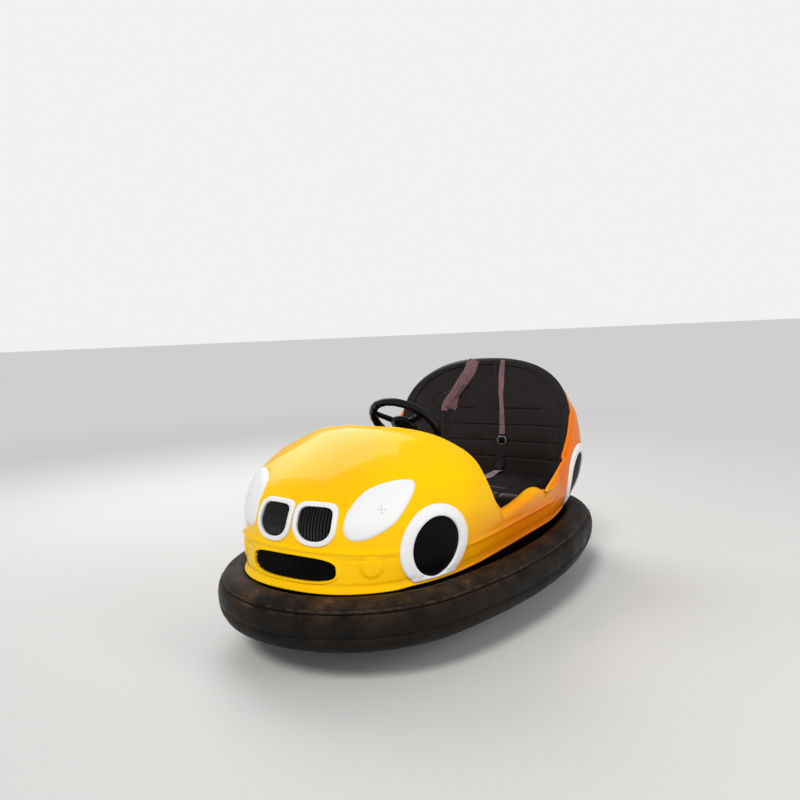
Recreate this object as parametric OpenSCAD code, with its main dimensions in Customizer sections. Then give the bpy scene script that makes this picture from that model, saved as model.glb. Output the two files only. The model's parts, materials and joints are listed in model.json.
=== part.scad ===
// Fairground bumper car with an electric drive unit under the bonnet, in millimetres.
// +Z is up, the car faces -Y, its own left side is +X and the floor is z = 0.
// An inset is measured inwards from the bumper tyre's outermost side, nose or tail.

/* [Bumper tyre] */
// Half of the bumper tyre's length
ring_half_l = 975; // [950:5:1010]
// Half of the bumper tyre's width
ring_half_w = 587; // [575:1:600]
// How far the tyre's sides bulge past its round ends
side_bulge = 62; // [50:1:70]
// Width of the tyre's section
tyre_w = 148; // [140:1:150]
// Height of the tyre's section
tyre_h = 170; // [160:1:172]
// Height of the tyre's middle line above the floor
tyre_z = 202; // [195:1:204]
// Depth of the grooves round the tyre's side
groove_d = 5; // [3:1:8]

/* [Chassis] */
// Thickness of the steel band inside the tyre
band_t = 5; // [4:0.5:7]
// Lowest edge of the steel band
band_z = 130; // [125:1:135]
// Underside of the floor plate
floor_z = 150; // [146:1:152]
// Thickness of the floor plate
floor_t = 4; // [3:0.5:6]
// Side of the square chassis tubes
rail_w = 36; // [30:1:38]
// Inset of each long tube's middle
rail_in = 327; // [320:1:334]
// Inset of the end cross tubes' outer faces
cross_in = 365; // [355:1:380]

/* [Body shell] */
// Thickness of the moulded shell
wall = 10; // [8:0.5:11]
// Underside of the body's lip
lip_z = 285; // [282:1:290]
// Thickness of the body's lip
lip_t = 6; // [5:0.5:8]
// How far the lip stands out of the body
lip_out = 6; // [4:1:9]
// Gap where two body panels meet
seam = 0.6; // [0.4:0.1:1]
// Width of a sill's top
sill_w = 64; // [56:1:68]

/* [Front trim] */
// Height of the middle of the two upper grilles
grille_z = 498; // [494:1:502]
// Distance from the middle to the centre of each upper grille
grille_x = 87; // [86:1:90]
// Half of an upper grille's width
grille_half_w = 67; // [62:1:68]
// Half of an upper grille's height
grille_half_h = 56; // [52:1:58]
// Width of the white frame round each upper grille
frame_w = 17; // [12:1:18]
// Number of slats in each upper grille
slats = 11; // [7:1:15]
// Height of the lower grille's middle
slot_z = 355; // [352:1:360]
// Half of the lower grille's width
slot_half_w = 172; // [160:2:176]
// Half of the lower grille's height
slot_half_h = 36; // [30:1:38]
// Half of a headlamp's length
lamp_half_l = 143; // [130:1:146]
// Thickness of the lamps and trims that lie on the shell
trim_t = 6; // [4:0.5:9]
// Clearance of flat pieces in their openings
seat_gap = 0.3; // [0.2:0.1:0.4]
// Half width of the dummy wheels' white rings
trim_half_w = 135; // [128:1:138]
// Half height of the dummy wheels' white rings
trim_half_h = 142; // [134:1:146]
// Width of the dummy wheels' white rings
trim_ring = 40; // [30:1:46]

/* [Seat] */
// Inset of the seat back's sides
seat_in = 144; // [142:1:150]
// Highest point of the seat back
seat_top = 960; // [945:1:970]
// Thickness of the seat back in its middle
back_t = 40; // [32:1:42]
// Lean of the seat back
back_lean = 7; // [6:0.5:7.5]
// Inset of the seat back's front face at the cushion's height
back_in = 433; // [432:1:440]
// How far the seat back's sides wrap forward
back_wrap = 60; // [50:1:64]
// Top of the seat cushion
cushion_z = 430; // [415:1:440]
// Thickness of the seat cushion
cushion_t = 90; // [70:1:95]
// Inset of the seat cushion's front edge
cushion_in = 865; // [850:1:875]
// Width of the belts' webbing
belt_w = 46; // [38:1:50]
// Distance from the middle to each belt
belt_x = 67; // [60:1:75]

/* [Steering] */
// Lean of the steering column from upright
column_lean = 45; // [43:0.5:47]
// Length from the column's joint to the steering wheel's middle
column_l = 305; // [298:1:312]
// Outer radius of the steering wheel
wheel_r = 154; // [145:1:158]
// Radius of the steering wheel's grip
grip_r = 15; // [12:0.5:16]
// Radius of the steering shaft
shaft_r = 12; // [10:0.5:13]
// Clearance of turning shafts in their bores
run_gap = 0.05; // [0.03:0.01:0.08]

/* [Drive unit] */
// Inset of the drive unit's upright axis
drive_in = 633; // [630:1:640]
// Radius of the drive wheel
drive_r = 90; // [84:1:94]
// Width of the drive wheel
drive_w = 60; // [50:1:64]
// Height of the steering joint's middle
joint_z = 521; // [510:1:525]
// Radius of the drive motor
motor_r = 58; // [50:1:60]
// Length of the drive motor
motor_l = 110; // [90:1:115]

/* [Rear wheels] */
// Radius of the rear wheels
rear_r = 65; // [58:1:66]
// Width of the rear wheels
rear_w = 48; // [40:1:52]
// Inset of each rear wheel's middle
rear_in = 257; // [255:1:262]
// Inset of the rear axle
axle_in = 455; // [450:1:465]
// Radius of the rear axle
axle_r = 12; // [10:0.5:14]

/* [Hidden] */
$fn = 48;
eps = 1;

yellow = [0.98, 0.72, 0.04];
white = [0.96, 0.96, 0.96];
black = [0.05, 0.05, 0.06];
rubber = [0.13, 0.12, 0.11];
steel = [0.45, 0.46, 0.48];
charcoal = [0.10, 0.10, 0.11];
mauve = [0.36, 0.24, 0.31];
red = [0.75, 0.05, 0.04];

// Distance from the middle of the car to what is inset from its side or from its nose or tail
function wide(inset) = ring_half_w - inset;
function long(inset) = ring_half_l - inset;

// The bumper oval is four tangent arcs: two ends and two sides
end_r = ring_half_w - side_bulge;
arc_y = ring_half_l - end_r;
side_x = (arc_y * arc_y - side_bulge * side_bulge) / (2 * side_bulge);
side_r = ring_half_w + side_x;
join_a = atan2(arc_y, side_x);
band_in = tyre_w + seat_gap;
floor_in = band_in + band_t;
deck_z = floor_z + floor_t;
shell_z = lip_z + lip_t;
drive_y = -long(drive_in);
rail_x = wide(rail_in);

// Outline of the bumper oval, moved inwards by i
function oval(i, m = 10) = concat(
    [for (k = [0:m - 1]) let (a = -join_a + 2 * join_a * k / m)
        [-side_x + (side_r - i) * cos(a), (side_r - i) * sin(a)]],
    [for (k = [0:2 * m - 1]) let (a = join_a + (180 - 2 * join_a) * k / (2 * m))
        [(end_r - i) * cos(a), arc_y + (end_r - i) * sin(a)]],
    [for (k = [0:m - 1]) let (a = 180 - join_a + 2 * join_a * k / m)
        [side_x + (side_r - i) * cos(a), (side_r - i) * sin(a)]],
    [for (k = [0:2 * m - 1]) let (a = 180 + join_a + (180 - 2 * join_a) * k / (2 * m))
        [(end_r - i) * cos(a), -arc_y + (end_r - i) * sin(a)]]);

// Point of a unit superellipse of sharpness n at angle a
function round_corner(n, a) = [sign(cos(a)) * pow(abs(cos(a)), 2 / n), sign(sin(a)) * pow(abs(sin(a)), 2 / n)];

// Joins equally long loops of points, anticlockwise seen from where the last loops lie. Without end points
// the last loop joins the first, and with two of them a fan closes each end.
module stack(loops, ends = []) {
    n = len(loops[0]);
    m = len(loops);
    open = len(ends) == 0;
    walls = [for (j = [0:m - (open ? 1 : 2)], i = [0:n - 1]) let (a = j * n + i, b = j * n + (i + 1) % n,
        c = (j + 1) % m * n + (i + 1) % n, d = (j + 1) % m * n + i) each [[a, c, b], [a, d, c]]];
    fans = open ? [] : [for (i = [0:n - 1]) let (k = (i + 1) % n)
        each [[i, k, n * m], [(m - 1) * n + k, (m - 1) * n + i, n * m + 1]]];
    polyhedron(points = concat([for (l = loops) each l], ends), faces = concat(walls, fans), convexity = 8);
}

// Body levels, lowest first. Columns: height above the lip, inset of the side, inset of the nose or tail,
// inset of the free edge, sharpness of the plan, where 2 is an ellipse
front_levels = [
    [0, 159, 129, 755, 2.45], [40, 146, 141, 755, 2.45], [95, 130, 148, 755, 2.45], [150, 119, 151, 753, 2.45],
    [210, 117, 162, 713, 2.4], [265, 123, 195, 683, 2.25], [315, 137, 251, 653, 2.1], [360, 163, 321, 633, 2],
    [398, 211, 397, 625, 2], [430, 287, 475, 625, 2], [450, 373, 535, 625, 2], [461, 471, 579, 625, 2]];
rear_levels = [
    [0, 159, 117, 795, 2.4], [40, 146, 117, 795, 2.9], [95, 130, 120, 795, 3.5], [140, 121, 125, 795, 3.9],
    [205, 116, 132, 675, 3.8], [255, 116, 141, 585, 3.5], [315, 121, 155, 525, 3.2], [375, 129, 175, 475, 2.9],
    [435, 140, 200, 430, 2.6], [480, 152, 223, 416, 2.5], [515, 170, 242, 404, 2.4], [560, 215, 263, 384, 2.3],
    [600, 275, 283, 367, 2.2], [630, 337, 299, 353, 2.2], [648, 407, 307, 341, 2.2]];
shell_seg = 36;

// One level of a shell, thinned by t, facing way -1 to the front or 1 to the rear
function level(row, top, t, way) = [for (i = [0:shell_seg]) let (e = round_corner(row[4], 180 * i / shell_seg))
    [(wide(row[1]) - t) * e.x, way * (long(row[3]) + (long(row[2]) - t - long(row[3])) * e.y),
     shell_z + row[0] * (top - t) / top]];

// A shell between the levels and the same levels thinned by the wall, closed along its free edges
module shell(levels, way) {
    n = shell_seg + 1;
    m = len(levels);
    top = levels[m - 1][0];
    points = concat([for (r = levels) each level(r, top, 0, way)],
        [for (r = levels) each level(r, top, wall, way)]);
    inner = n * m;
    quads = concat(
        [for (j = [0:m - 2], i = [0:n - 2]) [j * n + i, j * n + i + 1, j * n + n + i + 1, j * n + n + i]],
        [for (j = [0:m - 2], i = [0:n - 2])
            [inner + j * n + i, inner + j * n + n + i, inner + j * n + n + i + 1, inner + j * n + i + 1]],
        [for (i = [0:n - 2]) [i + 1, i, inner + i, inner + i + 1]],
        [for (j = [0:m - 2]) [j * n, j * n + n, inner + j * n + n, inner + j * n]],
        [for (j = [0:m - 2]) let (e = n - 1)
            [j * n + n + e, j * n + e, inner + j * n + e, inner + j * n + n + e]],
        [[n * (m - 1), n * m - 1, inner + n * m - 1, inner + n * (m - 1)]]);
    caps = [
        [for (i = [0:n - 1]) n * (m - 1) + i],
        [for (i = [n - 1:-1:0]) inner + n * (m - 1) + i]];
    triangles = concat([for (q = quads) each [[q[0], q[1], q[2]], [q[0], q[2], q[3]]]], caps);
    turned = [for (f = triangles) [for (i = [len(f) - 1:-1:0]) f[i]]];
    polyhedron(points = points, faces = way < 0 ? turned : triangles, convexity = 6);
}

// Value of a column of the levels at height h above the lip
function column(way, c, h) = lookup(h, [for (r = way < 0 ? front_levels : rear_levels) [r[0], r[c]]]);

// Share of the way from the free edge to the nose or tail at height h, for a place y along the car
function share(way, h, y) = let (edge = long(column(way, 3, h)))
    max(way * y - edge, 0) / (long(column(way, 2, h)) - edge);

// Half width of the body at height h and place y
function half_at(way, h, y) = let (n = column(way, 4, h))
    wide(column(way, 1, h)) * pow(1 - pow(share(way, h, y), n), 1 / n);

// How far outside the body a point is, below nought inside it
function beyond(way, p) = let (h = p.z - shell_z, n = column(way, 4, h))
    pow(abs(p.x) / wide(column(way, 1, h)), n) + pow(share(way, h, p.y), n) - 1;

// Where the line through p along d leaves the body, found by halving
reach = 200;
function on_skin(way, p, d, lo = -reach, hi = reach, k = 20) = let (m = (lo + hi) / 2)
    k == 0 ? p + m * d : beyond(way, p + m * d) > 0 ?
        on_skin(way, p, d, lo, m, k - 1) : on_skin(way, p, d, m, hi, k - 1);

// A place on the left side of the body is x, y, z, the turn from straight sideways towards the tail, and
// the upward tilt. Its axes point along the body, up it and out of it.
function axes(place) = let (a = place[3], e = place[4], out = [cos(a) * cos(e), sin(a) * cos(e), sin(e)],
    along = [-sin(a), cos(a), 0]) [along, cross(out, along), out];

// An outline drawn on a place, laid at height h above the skin
function laid(way, place, outline, h) = let (f = axes(place), o = [place[0], place[1], place[2]])
    [for (q = outline) on_skin(way, o + q.x * f[0] + q.y * f[1], f[2]) + h * f[2]];

skin_gap = 1.8;
ring_gap = 2.6;
lamp_gap = 2.9;
fog_gap = 1.1;
function scaled(outline, s) = [for (q = outline) q * s];

// A piece of even thickness that covers an outline on the skin
module patch(way, place, outline, t, steps = [0.25, 0.6, 1], gap = skin_gap) {
    low = [for (s = steps) laid(way, place, scaled(outline, s), gap)];
    high = [for (i = [len(steps) - 1:-1:0]) laid(way, place, scaled(outline, steps[i]), gap + t)];
    stack(concat(low, high),
        [laid(way, place, [[0, 0]], gap)[0], laid(way, place, [[0, 0]], gap + t)[0]]);
}

// A piece of even thickness that covers the skin between two outlines
module band(way, place, outer, inner, t, gap = skin_gap) stack([
    laid(way, place, outer, gap), laid(way, place, outer, gap + t),
    laid(way, place, inner, gap + t), laid(way, place, inner, gap)]);

module pair(side) if (side > 0) children(); else mirror([1, 0, 0]) children();

// Puts the children, drawn along +Z, on a place of the body's left or right side, facing outwards
module facing(side, place) pair(side) translate([place[0], place[1], place[2]])
    rotate([0, 0, place[3]]) rotate([0, 90 - place[4], 0]) rotate([0, 0, 90]) children();

// Tyre section from its inner face, x outwards and y up
tyre_flat = 56;
function tyre_profile() = let (r = tyre_w - tyre_flat, h = tyre_h / 2)
    concat(
        [[0, -h * 0.72], [tyre_w * 0.1, -h * 0.93]],
        [for (a = [-90:7.5:90]) let (e = round_corner(2.5, a),
            d = (abs(a) == 22.5 || abs(a) == 52.5) ? groove_d : 0)
            [tyre_flat + (r - d) * e.x, (h - d * abs(sin(a))) * e.y]],
        [[tyre_w * 0.1, h * 0.93], [0, h * 0.72]]);

module bumper_tyre() color(rubber)
    stack([for (p = tyre_profile()) [for (q = oval(tyre_w - p.x)) [q.x, q.y, tyre_z + p.y]]]);

module tyre_band() color(steel) translate([0, 0, band_z]) linear_extrude(lip_z - band_z)
    difference() {
        polygon(oval(band_in));
        polygon(oval(floor_in));
    }

drive_hole = 180;
module floor_pan() color(steel) translate([0, 0, floor_z]) linear_extrude(floor_t)
    difference() {
        polygon(oval(floor_in));
        translate([0, drive_y]) circle(r = drive_hole, $fn = 96);
    }

// Square tube lying along X or Y, on its middle
module tube(l, along) translate([0, 0, floor_z - rail_w / 2])
    cube(along == "x" ? [l, rail_w, rail_w] : [rail_w, l, rail_w], center = true);

seat_tube_in = 825;
module chassis_frame() color(steel) {
    end = long(cross_in);
    for (s = [-1, 1]) translate([s * rail_x, 0, 0]) tube(2 * end, "y");
    for (y = [-end + rail_w / 2, long(seat_tube_in), end - rail_w / 2])
        translate([0, y, 0]) tube(2 * rail_x, "x");
}

// Outline of the body at its lip, grown by g
function lip_outline(g) = concat(
    [for (p = level(front_levels[0], 1, -g, -1)) [p.x, p.y]],
    [for (i = [shell_seg:-1:0]) let (p = level(rear_levels[0], 1, -g, 1)[i]) [p.x, p.y]]);

lip_in = 25;
module body_lip() color(yellow) translate([0, 0, lip_z]) linear_extrude(lip_t)
    difference() {
        polygon(lip_outline(lip_out));
        polygon(oval(floor_in + lip_in));
    }

// Outline of an upper grille: flat on top, rounded below, grown by g
grille_place = [grille_x, -long(166), grille_z, -83, 16];
function grille_outline(g = 0) = [for (a = [0:9:351]) let (e = round_corner(a > 180 ? 2.3 : 4.5, a))
    [(grille_half_w + g) * e.x, (grille_half_h + g) * e.y]];

// Turns an outline drawn in X and Z into a prism that reaches through the nose
module through_nose() translate([0, -long(335), 0]) rotate([90, 0, 0]) linear_extrude(260) children();

function slot_outline(g = 0) = [for (a = [0:6:354]) let (e = round_corner(3.4, a))
    [(slot_half_w + g) * e.x, (slot_half_h + g) * e.y]];

grille_cut = 60;
module front_body() color(yellow) difference() {
    shell(front_levels, -1);
    for (s = [-1, 1]) facing(s, grille_place) translate([0, 0, -grille_cut]) linear_extrude(2 * grille_cut)
        polygon(grille_outline());
    translate([0, 0, slot_z]) through_nose() polygon(slot_outline());
}

module rear_body() color(yellow) shell(rear_levels, 1);

// Sill stations from the front body to the rear body. Columns: share of the length, height of the top
sill_rows = [[0, 443], [0.24, 449], [0.5, 462], [0.73, 473], [0.87, 458], [1, 431]];
sill_out = wide(120);
sill_from = -long(front_levels[0][3]) + seam;
sill_to = long(rear_levels[0][3]) - seam;
function sill_section(top) = concat(
    [for (r = [0:2]) [wide(front_levels[r][1]), shell_z + front_levels[r][0]]],
    [[sill_out, top - 22], [sill_out - 5, top - 8], [sill_out - 17, top], [sill_out - sill_w + 14, top],
     [sill_out - sill_w + 3, top - 8], [sill_out - sill_w, top - 22], [sill_out - sill_w, shell_z]]);

module sill(side) {
    place = function (s) sill_from + s * (sill_to - sill_from);
    middle = [sill_out - sill_w / 2, shell_z + 80];
    loops = [for (j = [len(sill_rows) - 1:-1:0])
        [for (p = sill_section(sill_rows[j][1])) [p.x, place(sill_rows[j][0]), p.y]]];
    ends = [[middle.x, sill_to, middle.y], [middle.x, sill_from, middle.y]];
    color(yellow) pair(side) stack(loops, ends);
}

// The panel that closes the cowl behind the bonnet's rear edge
dash_y = -long(623);
dash_t = 6;
dash_low = 580;
dash_gap = 2;
module dash_panel() color(black) {
    top = front_levels[len(front_levels) - 1][0];
    rows = [for (z = [dash_low, 620, 655, 689, 712, 728, 738])
        [half_at(-1, (z - shell_z) * top / (top - wall), dash_y - dash_t) - wall - dash_gap, z]];
    left = [for (i = [len(rows) - 1:-1:0]) [-rows[i].x, rows[i].y]];
    translate([0, dash_y, 0]) rotate([90, 0, 0]) linear_extrude(dash_t) polygon(concat(rows, left));
}

grille_depth = 14;
plate_t = 3;
slat_depth = 7;
module grille(side) color(black) facing(side, grille_place) {
    pitch = 2 * grille_half_w / slats;
    translate([0, 0, -grille_depth]) linear_extrude(plate_t) polygon(grille_outline(-seat_gap));
    translate([0, 0, plate_t - 1 - grille_depth])
            linear_extrude(grille_depth - plate_t + 1 - slat_depth) intersection() {
        polygon(grille_outline(-seat_gap));
        for (i = [0:slats - 1]) translate([-grille_half_w + (i + 0.5) * pitch, 0])
            square([pitch * 0.4, 3 * grille_half_h], center = true);
    }
}

module grille_frame(side) color(white) pair(side)
    band(-1, grille_place, grille_outline(frame_w), grille_outline(1), trim_t);

// The lower grille is bent to the nose's arc
nose_r = 614;
nose_y = -long(144);
bars = 9;
bar_pitch = 1.7;
module lower_grille() color(black) intersection() {
    translate([0, 0, slot_z]) through_nose() polygon(slot_outline(-seat_gap));
    translate([0, nose_y + nose_r, slot_z - 2 * slot_half_h]) {
        difference() {
            cylinder(r = nose_r - 6, h = 4 * slot_half_h, $fn = 160);
            translate([0, 0, -eps])
                cylinder(r = nose_r - 6 - plate_t, h = 4 * slot_half_h + 2 * eps, $fn = 160);
        }
        for (i = [-bars:bars]) rotate([0, 0, i * bar_pitch]) translate([0, 5 - nose_r, 2 * slot_half_h])
            rotate([0, 30, 0]) cube([5, 6, 5 * slot_half_h], center = true);
    }
}

// Leaf outline of a headlamp, narrower towards its upper outer tip
lamp_turn = 36;
lamp_place = [grille_x + grille_half_w + frame_w + 85, -long(299), grille_z + 37, -50, 15];
function lamp_outline() = [for (a = [0:12:348]) let (u = lamp_half_l * cos(a),
    v = (a < 180 ? 74 : 65) * sin(a) * (1 - 0.4 * pow(max(0, cos(a)), 1.2)))
    [u * cos(lamp_turn) - v * sin(lamp_turn), u * sin(lamp_turn) + v * cos(lamp_turn)]];

module headlamp(side) color(white) pair(side)
    patch(-1, lamp_place, lamp_outline(), trim_t, [0.15, 0.4, 0.7, 1], lamp_gap);

fog_place = [slot_half_w + 96, -long(230), slot_z + 11, -68, 0];
fog_r = 38;
fog_t = 4;
function ellipse(w, h, step = 15) = [for (a = [0:step:360 - step]) [w * cos(a), h * sin(a)]];

module fog_caps() color(yellow) for (s = [-1, 1]) pair(s)
    patch(-1, fog_place, ellipse(fog_r, fog_r), fog_t, [0.5, 1], fog_gap);

front_wheel = [wide(187), -long(404), 403, -24, 0];
rear_wheel = [wide(131), long(400), 433, 3, 0];
disc_t = 4;
disc_gap = 1;

// Ellipse of a dummy wheel moved inwards by i, cut off level just above the lip
function wheel_outline(place, i) = let (low = shell_z + 2 - place[2])
    [for (q = ellipse(trim_half_w - i, trim_half_h - i, 12)) [q.x, max(q.y, low + (i > 0 ? 4 : 0))]];

module wheel_trim(way, side, place) color(white) pair(side)
    band(way, place, wheel_outline(place, 0), wheel_outline(place, trim_ring), trim_t, ring_gap);

module wheel_disc(way, side, place) color(black) pair(side)
    patch(way, place, wheel_outline(place, trim_ring + disc_gap), disc_t);

lamp_back = [225, long(154), 560, 80, 0];
module tail_lamps() color(red) for (s = [-1, 1]) pair(s) patch(1, lamp_back, ellipse(95, 38), trim_t, [0.5, 1]);

// Front face of the seat back
seat_half_w = wide(seat_in);
back_y = long(back_in);
function seat_y(x, z) = back_y + (z - cushion_z) * tan(back_lean) - back_wrap * pow(abs(x) / seat_half_w, 4);

cushion_half_w = sill_out - sill_w - 18;
box_t = 8;
box_half_w = cushion_half_w - 75;
box_from = long(cushion_in) + 20;
back_foot = cushion_z - cushion_t;
module seat_box() color(black) translate([-box_half_w, box_from, deck_z]) {
    l = back_y + 29 - box_from;
    h = back_foot - deck_z;
    difference() {
        cube([2 * box_half_w, l, h]);
        translate([box_t, box_t, -eps]) cube([2 * (box_half_w - box_t), l - 2 * box_t, h - box_t + eps]);
    }
}

// Plan of the seat cushion at height z, with its sides and front edge moved in by i
back_gap = 9;
cushion_y = long(cushion_in);
function cushion_plan(z, i) = let (w = cushion_half_w - i, y = cushion_y + i) concat(
    [for (s = [-1:0.5:1]) [w * s, y, z]],
    [for (k = [0:12]) let (x = w * cos(15 * k)) [x, seat_y(x, z) - back_gap, z]]);

cushion_r = 28;
module seat_cushion() color(charcoal) {
    low = back_foot + seat_gap;
    y = (cushion_y + back_y) / 2;
    bend = [for (a = [0:22.5:90]) cushion_plan(cushion_z - cushion_r * (1 - sin(a)), cushion_r * (1 - cos(a)))];
    stack(concat([cushion_plan(low, 0)], bend), [[0, y, low], [0, y, cushion_z]]);
}

// Arch outline of the seat back about its middle, x across and y up
arch_foot = 640;
back_mid = 650;
back_low = back_foot + seat_gap - back_mid;
seat_arch = concat(
    [for (k = [12:-1:1]) [-cushion_half_w * cos(180 - 15 * k), back_low]],
    [[cushion_half_w, back_low], [seat_half_w - 24, cushion_z + 40 - back_mid]],
    [for (k = [0:24]) let (e = round_corner(2.4, 7.5 * k))
        [seat_half_w * e.x, arch_foot - back_mid + (seat_top - arch_foot) * e.y]],
    [[24 - seat_half_w, cushion_z + 40 - back_mid]]);

// The seat back's arch at scale s, on its front face or its back, which meet in a thin rim
function seat_loop(s, behind) = [for (q = seat_arch) let (x = s * q.x, z = back_mid + s * q.y)
    [x, seat_y(x, z) + behind * back_t * (1 - pow(s, 3) / 2), z]];

module seat_back() color(charcoal) stack(
    concat([for (s = [0.3, 0.65, 1]) seat_loop(s, 1)], [for (s = [1, 0.65, 0.3]) seat_loop(s, 0)]),
    [[0, seat_y(0, back_mid) + back_t, back_mid], [0, seat_y(0, back_mid), back_mid]]);

// Moves the children, drawn upright, on to the middle of the seat back's leaning front face
module on_back() translate([0, back_y, cushion_z]) rotate([-back_lean, 0, 0]) children();

belt_t = 4;
belt_gap = 0.6;
belt_l = seat_top - cushion_z - 40;
module seat_belts() color(mauve) for (s = [-1, 1]) on_back()
    translate([s * belt_x - belt_w / 2, -belt_t - belt_gap, 8]) cube([belt_w, belt_t, belt_l]);

buckle = [64, 15, 42];
module belt_buckle() color(steel)
    on_back() translate([belt_x - buckle.x / 2, -buckle.y - belt_t - 1, 130]) cube(buckle);

// Puts the children on the steering column: z runs up the column from its joint
module on_column() translate([0, drive_y, joint_z]) rotate([-column_lean, 0, 0]) children();

tube_low = 55;
tube_high = column_l - 65;
tube_r = 22;
module column_tube() color(black) on_column() translate([0, 0, tube_low]) difference() {
    cylinder(r = tube_r, h = tube_high - tube_low);
    translate([0, 0, -eps]) cylinder(r = shaft_r + run_gap, h = tube_high - tube_low + 2 * eps);
}

// Clamp round the column tube with two arms to the dash
clamp_z = 110;
clamp_l = 50;
arm_t = 8;
module column_bracket() color(steel) difference() {
    union() {
        on_column() translate([0, 0, clamp_z]) cylinder(r = tube_r + 10, h = clamp_l);
        for (s = [-1, 1]) translate([s * tube_r - arm_t / 2, dash_y + seat_gap, joint_z]) rotate([90, 0, 90])
            linear_extrude(arm_t) polygon([[0, 179], [0, 69], [90, 69], [130, 119]]);
    }
    on_column() cylinder(r = tube_r + seat_gap, h = column_l);
}

ball_r = 26;
hub_r = 38;
spoke_w = 26;
spoke_t = 7;
hub_h = 14;
module steering_hub() color(black) on_column() {
    sphere(r = ball_r);
    cylinder(r = shaft_r, h = column_l);
    translate([0, 0, column_l - 40]) cylinder(r1 = 2 * shaft_r, r2 = hub_r, h = 31);
    translate([0, 0, column_l - 10]) cylinder(r = hub_r, h = hub_h);
    for (a = [90, 210, 330]) rotate([0, 0, a]) translate([hub_r - 8, -spoke_w / 2, column_l - 5])
        cube([wheel_r - 2 * grip_r - hub_r + 7, spoke_w, spoke_t]);
}

module steering_rim() color(black) on_column() translate([0, 0, column_l])
    rotate_extrude($fn = 96) translate([wheel_r - grip_r, 0]) circle(r = grip_r);

pedal_x = 195;
pedal_w = 70;
module pedal() color(steel) translate([pedal_x, -long(360), deck_z]) rotate([90, 0, 90]) linear_extrude(pedal_w)
    polygon([[0, 0], [12, 0], [12, 12], [108, 79], [103, 86], [0, 20]]);

bridge_z = 222;
bridge_t = 8;
boss_r = 40;
boss_h = 22;
pin_r = 20;
post_w = 20;
post_x = 141;
module drive_bridge() color(steel) translate([0, drive_y, 0]) difference() {
    union() {
        translate([-post_x - post_w / 2, -post_x - post_w / 2, bridge_z])
            cube([2 * post_x + post_w, 2 * post_x + post_w, bridge_t]);
        translate([0, 0, bridge_z]) cylinder(r = boss_r, h = boss_h);
        for (sx = [-1, 1], sy = [-1, 1]) translate([sx * post_x - post_w / 2, sy * post_x - post_w / 2, deck_z])
            cube([post_w, post_w, bridge_z + bridge_t - deck_z]);
    }
    translate([0, 0, bridge_z - eps]) cylinder(r = pin_r + run_gap, h = boss_h + 2 * eps);
}

cover_r = 242;
cover_h = 112;
cover_hole = 60;
cover_t = 5;
module drive_cover() color(black) translate([0, drive_y, deck_z]) rotate_extrude($fn = 72)
    polygon([[cover_r, 0], [cover_r, 60], [cover_r - 40, cover_h - 4], [cover_hole, cover_h],
        [cover_hole, cover_h - cover_t], [cover_r - 43, cover_h - cover_t - 4],
        [cover_r - 6, 58], [cover_r - 6, 0]]);

cup_r = 34;
cup_top = 1;
cup_gap = 0.5;
fork_z = 204;
fork_t = 10;
fork_r = 110;
stub_r = 10;
cheek_t = 8;
cheek_x = drive_w / 2 + 7;
cheek_low = 25;
module drive_fork() color(steel) translate([0, drive_y, 0]) {
    difference() {
        union() {
            translate([0, 0, fork_z]) cylinder(r = pin_r, h = joint_z - fork_z - ball_r);
            translate([0, 0, joint_z]) sphere(r = cup_r);
        }
        translate([0, 0, joint_z]) sphere(r = ball_r + cup_gap);
        translate([0, 0, joint_z + cup_top]) cylinder(r = cup_r + eps, h = 60);
    }
    translate([0, 0, fork_z]) cylinder(r = fork_r, h = fork_t);
    for (s = [-1, 1])
        translate([s * (cheek_x + cheek_t / 2) - cheek_t / 2, -30, drive_r - cheek_low]) difference() {
        cube([cheek_t, 60, fork_z - drive_r + cheek_low + 0.5]);
        translate([-eps, 30, cheek_low]) rotate([0, 90, 0]) cylinder(r = stub_r + run_gap, h = cheek_t + 2 * eps);
    }
}

module drive_motor() color(charcoal) translate([cheek_x + cheek_t, drive_y, drive_r + 35]) rotate([0, 90, 0])
    cylinder(r = motor_r, h = motor_l);

// Half section of a wheel with a dished hub, x outwards and y along its axle
function wheel_profile(r, w, bore, dish, bevel) = let (h = w / 2, rim = r * 0.62) [
    [bore, -h + dish], [rim - 2, -h + dish], [rim, -h], [r - bevel + 1, -h], [r, -h + bevel],
    [r, h - bevel], [r - bevel + 1, h], [rim, h], [rim - 2, h - dish], [bore, h - dish]];

module drive_wheel() color(rubber) translate([0, drive_y, drive_r]) rotate([0, 90, 0]) {
    rotate_extrude($fn = 72) polygon(wheel_profile(drive_r, drive_w, 0, 8, 8));
    translate([0, 0, -cheek_x - cheek_t]) cylinder(r = stub_r, h = 2 * cheek_x + 12);
}

// The hangers lie on the inner faces of the long tubes
hanger_t = 12;
hanger_w = 44;
axle_end = 10;
rear_x = wide(rear_in);
axle_y = long(axle_in);
module rear_axle() color(steel) {
    half = rear_x + rear_w / 2 + axle_end;
    translate([-half, axle_y, rear_r]) rotate([0, 90, 0]) cylinder(r = axle_r, h = 2 * half);
    hanger_x = rail_x - rail_w / 2 - hanger_t / 2;
    for (s = [-1, 1]) translate([s * hanger_x - hanger_t / 2, axle_y - hanger_w / 2, rear_r - 20])
        cube([hanger_t, hanger_w, floor_z + 14 - rear_r]);
}

module rear_wheel(side) color(rubber) pair(side) translate([rear_x, axle_y, rear_r]) rotate([0, 90, 0])
    rotate_extrude($fn = 64) polygon(wheel_profile(rear_r, rear_w, axle_r + run_gap, 6, 7));

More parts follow.
